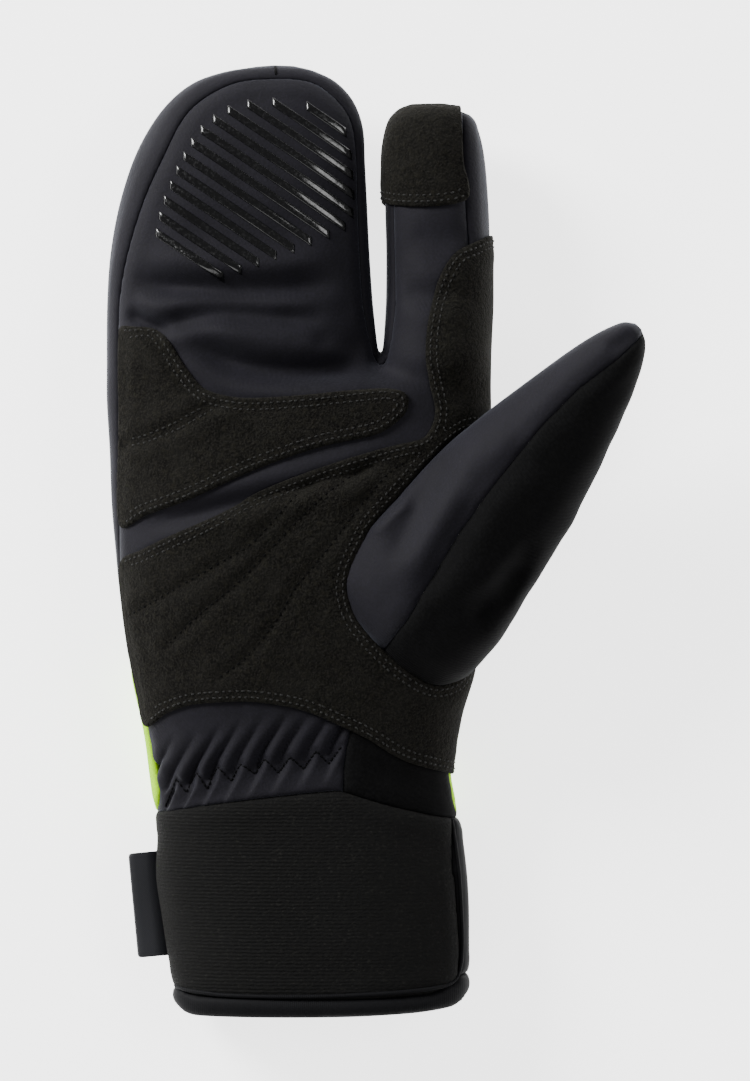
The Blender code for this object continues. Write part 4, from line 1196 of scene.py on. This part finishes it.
@cache
def suede():
    colour = settings().suede_colour
    f = Finish("napped_suede", colour, 0.95, Sheen_Weight=0.03, Sheen_Roughness=0.6,
               Sheen_Tint=(0.62, 0.60, 0.50, 1.0), Specular_IOR_Level=0.06)
    nap, tuft, broad = f.noise(0.0006, 4.0), f.noise(0.0014, 5.0), f.noise(0.010, 5.0)
    shade = f.mix(f.spread(nap, 0.38, 0.72), scaled(colour, 0.35), scaled(colour, 2.2))
    shade = f.mix(f.spread(tuft, 0.42, 0.78) * 0.45, shade, (0.0140, 0.0130, 0.0090))
    shade = f.mix(f.spread(broad, 0.40, 0.72) * 0.35, shade, (0.0100, 0.0096, 0.0084))
    return f.wear(Base_Color=shade, Roughness=0.82 + nap * 0.25,
                  Normal=f.bump(nap + tuft * 1.1, 0.00055, 1.0, f.bump(broad, 0.0010, 0.5)))


@cache
def rib_knit():
    f = Finish("rib_knit", (0.004, 0.004, 0.0036), 0.9, Sheen_Weight=0.02, Sheen_Roughness=0.5,
               Sheen_Tint=(0.6, 0.6, 0.55, 1.0), Specular_IOR_Level=0.15)
    ribs, loops = f.ribs(0.00108, "Y", 1.6), f.noise(0.0007, 3.0, (0.55, 1.0, 1.0))
    across = f.add("ShaderNodeSeparateXYZ", None, {0: f.place}, out="X")
    ribs = ribs * (f.spread(across, -0.050, 0.015) * -0.8 + 1.0)
    speck = f.spread(f.noise(0.0009, 2.0), 0.56, 0.74)
    shade = f.mix(f.spread(ribs * 0.15 + loops * 0.85, 0.25, 0.72), (0.0010, 0.0010, 0.0010),
                  (0.0036, 0.0035, 0.0032))
    shade = f.mix(speck * 0.5, shade, (0.0120, 0.0117, 0.0100))
    return f.wear(Base_Color=shade, Roughness=0.80 + loops * 0.2,
                  Normal=f.bump(ribs * 0.55 + loops * 1.0, 0.00032, 0.9))


@cache
def satin_binding():
    f = Finish("satin_binding", (0.0060, 0.0060, 0.0070), 0.55, Sheen_Weight=0.01,
               Sheen_Roughness=0.35, Sheen_Tint=(0.6, 0.62, 0.7, 1.0), Specular_IOR_Level=0.09)
    fine, weft = f.noise(0.0004, 2.0), f.ribs(0.0006, "X", 0.3)
    shade = f.mix(f.spread(fine, 0.3, 0.75), (0.0022, 0.0022, 0.0027), (0.0044, 0.0044, 0.0052))
    return f.wear(Base_Color=shade, Roughness=0.60 + fine * 0.16,
                  Normal=f.bump(weft * 0.6 + fine * 0.5, 0.00010, 0.6))


@cache
def grip_film():
    f = Finish("grip_film", (0.0020, 0.0020, 0.0022), 0.22, Coat_Weight=0.25, Coat_Roughness=0.12,
               Specular_IOR_Level=0.35)
    pits, broad = f.noise(0.0009, 3.0), f.noise(0.004, 3.0)
    shade = f.mix(f.spread(pits, 0.45, 0.7), (0.0015, 0.0015, 0.0017), (0.0035, 0.0035, 0.0039))
    return f.wear(Base_Color=shade, Roughness=0.12 + f.spread(pits, 0.4, 0.7) * 0.20,
                  Normal=f.bump(pits * 0.25 + broad, 0.00030, 0.40))


@cache
def woven_label():
    f = Finish("woven_label", (0.009, 0.010, 0.015), 0.6, Sheen_Weight=0.03,
               Sheen_Roughness=0.4, Specular_IOR_Level=0.35)
    twill, fine = f.ribs(0.00034, "DIAGONAL", 0.2), f.noise(0.0004, 2.0)
    shade = f.mix(f.spread(twill, 0.3, 0.7), (0.0030, 0.0033, 0.0052), (0.0058, 0.0063, 0.0092))
    return f.wear(Base_Color=shade, Roughness=0.50 + fine * 0.2,
                  Normal=f.bump(twill * 0.4 + fine * 0.5, 0.00010, 0.6))


@cache
def thread():
    colour = settings().thread_colour
    f = Finish("sewing_thread", colour, 0.62, Sheen_Weight=0.08, Specular_IOR_Level=0.2)
    twist, patchy = f.noise(0.0003, 2.0), f.noise(0.0030, 2.0)
    shade = f.mix(f.spread(twist * 0.5 + patchy * 0.5, 0.3, 0.7), scaled(colour, 0.4),
                  scaled(colour, 1.5))
    return f.wear(Base_Color=shade, Roughness=0.50 + twist * 0.3,
                  Normal=f.bump(twist, 0.0001, 0.6))


@cache
def dark_thread():
    f = Finish("dark_thread", (0.0022, 0.0022, 0.0024), 0.6, Specular_IOR_Level=0.05)
    twist = f.noise(0.0003, 2.0)
    return f.wear(Base_Color=f.mix(twist, (0.0007, 0.0007, 0.0008), (0.0030, 0.0030, 0.0032)),
                  Roughness=0.55 + twist * 0.2, Normal=f.bump(twist, 0.0001, 0.5))


def tint(name, description, default):
    return bpy.props.FloatVectorProperty(name=name, description=description, subtype="COLOR",
                                         size=3, min=0, max=1, default=default)


class MittSettings(bpy.types.PropertyGroup):
    shell_colour: tint("Softshell", "Colour of the brushed shell cloth", (0.0041, 0.0037, 0.0057))
    bright_colour: tint("Bright panel", "Colour of the fluorescent panel at the wrist's back",
                        (0.36, 0.72, 0.0))
    suede_colour: tint("Suede", "Colour of the suede patches", (0.0050, 0.0047, 0.0041))
    thread_colour: tint("Thread", "Colour of the sewing thread", (0.0100, 0.0100, 0.0092))
    suede_thickness: bpy.props.FloatProperty(
        name="Suede thickness", description="Thickness of the suede patches", unit="LENGTH",
        default=0.0010, min=0.0004, max=0.002, precision=4)
    stitch_pitch: bpy.props.FloatProperty(
        name="Stitch pitch", description="Distance from one stitch to the next", unit="LENGTH",
        default=0.0019, min=0.0016, max=0.005, precision=4)


class MITT_OT_shell(bpy.types.Operator):
    """Sew the shell of the palm, the back and both finger compartments"""

    bl_idname = "mitt.shell"
    bl_label = "Shell panels"

    def execute(self, context):
        above_cuff = sewn(hand_surface(HAND_CELLS), over(CUFF_TOP))
        palm = sewn(above_cuff, on_face, over(WRIST_TOP), off_thumb)
        panel("palm_cloth", palm, 3, softshell(), ("palm_shell",), "softshell", lift=-0.10)
        rear = sewn(above_cuff, off_face)
        back = sewn(rear, over(BACK_YOKE), off_thumb)
        panel("back_cloth", back, 5, softshell(),
              ("back_shell", "three_finger_back", "three_finger_side", "index_finger_back"),
              "softshell", size=22)
        yoke = sewn(rear, over(BACK_YOKE, -1), off_thumb)
        panel("bright_wrist_cloth", yoke, 7, bright_softshell(), ("back_wrist_panel",),
              "bright_softshell")
        return {"FINISHED"}


class MITT_OT_wrist(bpy.types.Operator):
    """Sew the gathered panel and the side panel of the wrist"""

    bl_idname = "mitt.wrist"
    bl_label = "Wrist panels"

    def execute(self, context):
        strip = wrist_strip(WRIST_CELLS, *WRIST_SPAN)
        pulse = gathered(sewn(strip, over(CUFF_TOP), on_face, over(WRIST_TOP, -1),
                              beyond(SIDE_PANEL_SEAM, -1)))
        panel("gathered_wrist_cloth", pulse, 11, softshell(), ("wrist_gather_panel",),
              "softshell", lift=-0.3, drop=0.8, width=1.8, lumps=0.12, size=7)
        side = sewn(hand_surface(HAND_CELLS), over(CUFF_TOP), on_face, over(WRIST_TOP, -1),
                    beyond(SIDE_PANEL_SEAM), off_thumb)
        panel("wrist_side_cloth", side, 13, black_softshell(), ("wrist_side_panel",),
              "black_softshell", size=8)
        return {"FINISHED"}


class MITT_OT_thumb(bpy.types.Operator):
    """Sew the thumb from its front and its side panel"""

    bl_idname = "mitt.thumb"
    bl_label = "Thumb"

    def execute(self, context):
        thumb = thumb_surface(THUMB_CELLS)

        def off_trunk(surface):
            return signed_distance(trunk_tree(), surface.points) + THUMB_TUCK

        def before_ridge(surface):
            return -thumb_ridge(surface)

        front = sewn(thumb, off_trunk, before_ridge)
        panel("thumb_front_cloth", front, 17, softshell(), ("thumb_front_panel",), "softshell",
              size=13)
        side = sewn(thumb, off_trunk, thumb_ridge)
        panel("thumb_side_cloth", side, 19, black_softshell(), ("thumb_side_panel",),
              "black_softshell", size=11, lumps=0.3)
        return {"FINISHED"}


class MITT_OT_suede(bpy.types.Operator):
    """Lay the three suede patches on the palm side"""

    bl_idname = "mitt.suede"
    bl_label = "Suede patches"

    def execute(self, context):
        thickness = settings().suede_thickness
        hand = hand_surface(HAND_CELLS)
        base = hand._replace(points=hand.points + (LAYER_GAP + thickness) * hand.normals)
        patches = (
            ("palm_suede", "palm_patch", PALM_PATCH, 0.25, QUILT_LINES, 23),
            ("knuckle_suede", "knuckle_patch", KNUCKLE_PATCH, 1.0, KNUCKLE_QUILT, 29),
            ("fingertip_suede", "fingertip_patch", FINGERTIP_PATCH, 0.20, (), 31),
        )
        for name, node, outline, wrap, quilting, seed in patches:
            def within(surface):
                return inside(surface.points, outline)

            def reach(surface):
                turned = np.where(surface.points[:, 0] - SHIFT[0] > wrap * PALM_WIDTH,
                                  WRAP_REACH, 0.0)
                return surface.side * PALM_DEPTH / 2 + turned

            patch = sewn(base, within, reach, off_thumb)
            cloth(name, patch, suede_offset(patch, quilting, seed), thickness, suede(), (node,))
        return {"FINISHED"}


class MITT_OT_cuff(bpy.types.Operator):
    """Knit the cuff and bind its side and hem"""

    bl_idname = "mitt.cuff"
    bl_label = "Cuff"

    def execute(self, context):
        strip = wrist_strip(CUFF_CELLS, *CUFF_SPAN)
        knit = sewn(strip, over(CUFF_TOP, -1), over(HEM_TOP))
        sleeve = sewn(knit, beyond(CUFF_EDGE, -1))
        panel("knit_cuff", sleeve, 37, rib_knit(), ("cuff_sleeve",), "knit", CUFF_WALL,
              drop=1.1, width=2.4, lumps=0.25, size=20)
        edge = sewn(knit, beyond(CUFF_EDGE))
        panel("side_binding", edge, 41, satin_binding(), ("cuff_side_binding",), "binding",
              CUFF_WALL, lift=0.3, drop=1.2, width=2.4, lumps=0.1)
        hem = sewn(strip, over(HEM_TOP, -1), over(HEM_END))
        panel("hem_binding_cloth", hem, 43, satin_binding(), ("hem_binding",), "binding",
              HEM_WALL, lift=0.5, drop=1.4, width=2.6, lumps=0.12)
        tree = tree_of(joined(MADE["knit_cuff"], MADE["side_binding"], MADE["hem_binding_cloth"]))
        runs = laid_line(rounded(PIPING), tree)
        runs = [(relaxed_line(points), normals) for points, normals in runs]
        thread_tube("cuff_piping", runs, satin_binding(), thickness=0.62, sides=10)
        return {"FINISHED"}


class MITT_OT_grip(bpy.types.Operator):
    """Print the slanting grip stripes on the three finger compartment"""

    bl_idname = "mitt.grip"
    bl_label = "Grip print"

    def execute(self, context):
        tree = tree_of(MADE["palm_cloth"])
        run = np.array([cos(STRIPE_SLOPE), sin(STRIPE_SLOPE)])
        across = np.array([-run[1], run[0]])
        top = np.array(GRIP_CORNER) * (PALM_WIDTH, LENGTH) + SHIFT[:2]
        points, faces, count = [], [], 0
        for number, (start, end) in enumerate(GRIP_ENDS):
            line = top - across * (number * STRIPE_PITCH)
            start, end = start * PALM_WIDTH, end * PALM_WIDTH
            steps = ceil((end - start) / GRIP_STEP)
            for i in range(steps + 1):
                share = i / steps
                taper = min(1.0, 0.15 + min(share, 1 - share) * (end - start) / GRIP_TAPER)
                for u, height in GRIP_PROFILE:
                    slant = -across[0] / run[0] * u * STRIPE_WIDTH
                    x, y = (line + run * (start + (end - start) * share + slant)
                            + across * u * STRIPE_WIDTH)
                    hit, normal = dropped(tree, x, y)
                    points.append(tuple(hit + normal * height * taper * MM))
            tube = tube_faces(steps + 1, len(GRIP_PROFILE), count)
            faces += [face[::-1] for face in tube]
            count = len(points)
        nodes = [f"grip_stripe_{i + 1:02d}" for i in range(len(GRIP_ENDS))]
        new_object("grip_print", points, faces, grip_film(), nodes)
        return {"FINISHED"}


class MITT_OT_label(bpy.types.Operator):
    """Fold the blank woven tab at the left edge of the cuff"""

    bl_idname = "mitt.label"
    bl_label = "Woven tab"

    def execute(self, context):
        low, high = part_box("label_tab")
        centre = (np.array(low) + np.array(high)) / 2
        down = np.array([sin(TAB_LEAN), -cos(TAB_LEAN), 0.0])
        out = np.array([-cos(TAB_LEAN), -sin(TAB_LEAN), 0.0])
        points = []
        for i in range(TAB_ROWS):
            t = (1 - cos(pi * i / (TAB_ROWS - 1))) / 2
            edge = min(1.0, min(t, 1 - t) * TAB_LENGTH / MM)
            corner = (1 - sqrt(1 - (1 - edge) ** 2)) * MM
            for share, z in TAB_PROFILE:
                wave = 0.35 * sin(5.0 * t + 0.6) * (0.5 + share)
                r = share * TAB_REACH - (corner if share > 0.3 else 0.0)
                spot = centre + down * (t - 0.5) * TAB_LENGTH + out * r
                points.append(spot + np.array([0.0, 0.0, (z + wave) * MM]))
        faces = tube_faces(TAB_ROWS, len(TAB_PROFILE))
        new_object("woven_tab", points, faces, woven_label(), ("label_tab",))
        return {"FINISHED"}


class MITT_OT_stitching(bpy.types.Operator):
    """Stitch the suede's edges and quilting, and the zigzag over the wrist's elastic"""

    bl_idname = "mitt.stitching"
    bl_label = "Stitching"

    def execute(self, context):
        pitch = settings().stitch_pitch / MM
        runs = []
        for name in ("palm_suede", "knuckle_suede", "fingertip_suede"):
            patch = MADE[name]
            distance = rim_distance(patch)
            for inset in STITCH_ROWS:
                for line in contour(patch, distance, inset * MM):
                    runs += shown(*line, LEFT_SEAM, (inset + 0.5) * MM, tip=name[0] == "f")
        runs += quilted("knuckle_suede", KNUCKLE_QUILT)
        stitched("edge_stitching", runs, thread(), pitch=pitch)
        runs = quilted("palm_suede", QUILT_LINES)
        stitched("quilting_stitching", runs, dark_thread(), pitch=pitch * 1.15)
        tree = tree_of(MADE["gathered_wrist_cloth"])
        runs = laid_line(np.array(ZIGZAG, float), tree)
        stitched("wrist_zigzag", runs, dark_thread(), pitch=1.5, length=1.45,
                 thickness=0.26)
        tree = tree_of(joined(MADE["palm_cloth"], MADE["back_cloth"]))
        runs = laid_line(np.array(CROWN_SEAM, float), tree)
        thread_tube("crown_seam", runs, dark_thread(), thickness=0.4)
        return {"FINISHED"}


class MITT_OT_stage(bpy.types.Operator):
    """Set the pale floor, the soft lights and the camera"""

    bl_idname = "mitt.stage"
    bl_label = "Stage"

    def execute(self, context):
        mesh = bpy.data.meshes.new("floor")
        corners = [(FLOOR_HALF * u, FLOOR_HALF * v, FLOOR_HEIGHT)
                   for u, v in ((-1, -1), (1, -1), (1, 1), (-1, 1))]
        mesh.from_pydata(corners, [], [(0, 1, 2, 3)])
        floor = bpy.data.objects.new("floor", mesh)
        context.scene.collection.objects.link(floor)
        f = Finish("pale_floor", (0.93, 0.93, 0.93), 0.85, Specular_IOR_Level=0.1,
                   Emission_Color=(1.0, 1.0, 1.0, 1.0), Emission_Strength=2.7)
        mottle = f.noise(0.08, 2.0)
        mesh.materials.append(f.wear(Base_Color=f.mix(mottle, (0.925, 0.925, 0.925),
                                                      (0.935, 0.935, 0.935))))
        world = bpy.data.worlds.new("soft_studio")
        world.use_nodes = True
        sky = world.node_tree.nodes["Background"].inputs
        sky["Color"].default_value = (1, 1, 1, 1)
        sky["Strength"].default_value = SKY_STRENGTH
        context.scene.world = world
        for name, place, size, power in LIGHTS:
            data = bpy.data.lights.new(name, "AREA")
            data.shape, data.size, data.energy = "DISK", size, power
            lamp = bpy.data.objects.new(name, data)
            lamp.location = place
            aim = Vector((0.0, 0.0, AIM_HEIGHT)) - Vector(place)
            lamp.rotation_euler = aim.to_track_quat("-Z", "Y").to_euler()
            context.scene.collection.objects.link(lamp)
        data = bpy.data.cameras.new("photo_camera")
        data.sensor_width = SENSOR_WIDTH
        data.lens = SENSOR_WIDTH * CAMERA_DISTANCE / VIEW_WIDTH
        camera = bpy.data.objects.new("photo_camera", data)
        camera.location = (0.0004, -0.00015, AIM_HEIGHT + CAMERA_DISTANCE)
        context.scene.collection.objects.link(camera)
        context.scene.camera = camera
        return {"FINISHED"}


STEPS = (MITT_OT_shell, MITT_OT_wrist, MITT_OT_thumb, MITT_OT_suede, MITT_OT_cuff, MITT_OT_grip,
         MITT_OT_label, MITT_OT_stitching, MITT_OT_stage)


class MITT_PT_panel(bpy.types.Panel):
    """Lists the mitt's sizes, colours and sewing steps"""

    bl_idname = "MITT_PT_panel"
    bl_label = "Lobster claw mitt"
    bl_space_type = "VIEW_3D"
    bl_region_type = "UI"
    bl_category = "Mitt"

    def draw(self, context):
        for name in MittSettings.__annotations__:
            self.layout.prop(settings(), name)
        for step in STEPS:
            self.layout.operator(step.bl_idname)


def register():
    for kind in (MittSettings, *STEPS, MITT_PT_panel):
        bpy.utils.register_class(kind)
    bpy.types.Scene.lobster_mitt = bpy.props.PointerProperty(type=MittSettings)


def unregister():
    del bpy.types.Scene.lobster_mitt
    for kind in reversed((MittSettings, *STEPS, MITT_PT_panel)):
        bpy.utils.unregister_class(kind)


def main():
    register()
    for step in STEPS:
        group, name = step.bl_idname.split(".")
        getattr(getattr(bpy.ops, group), name)()


if __name__ == "__main__":
    main()
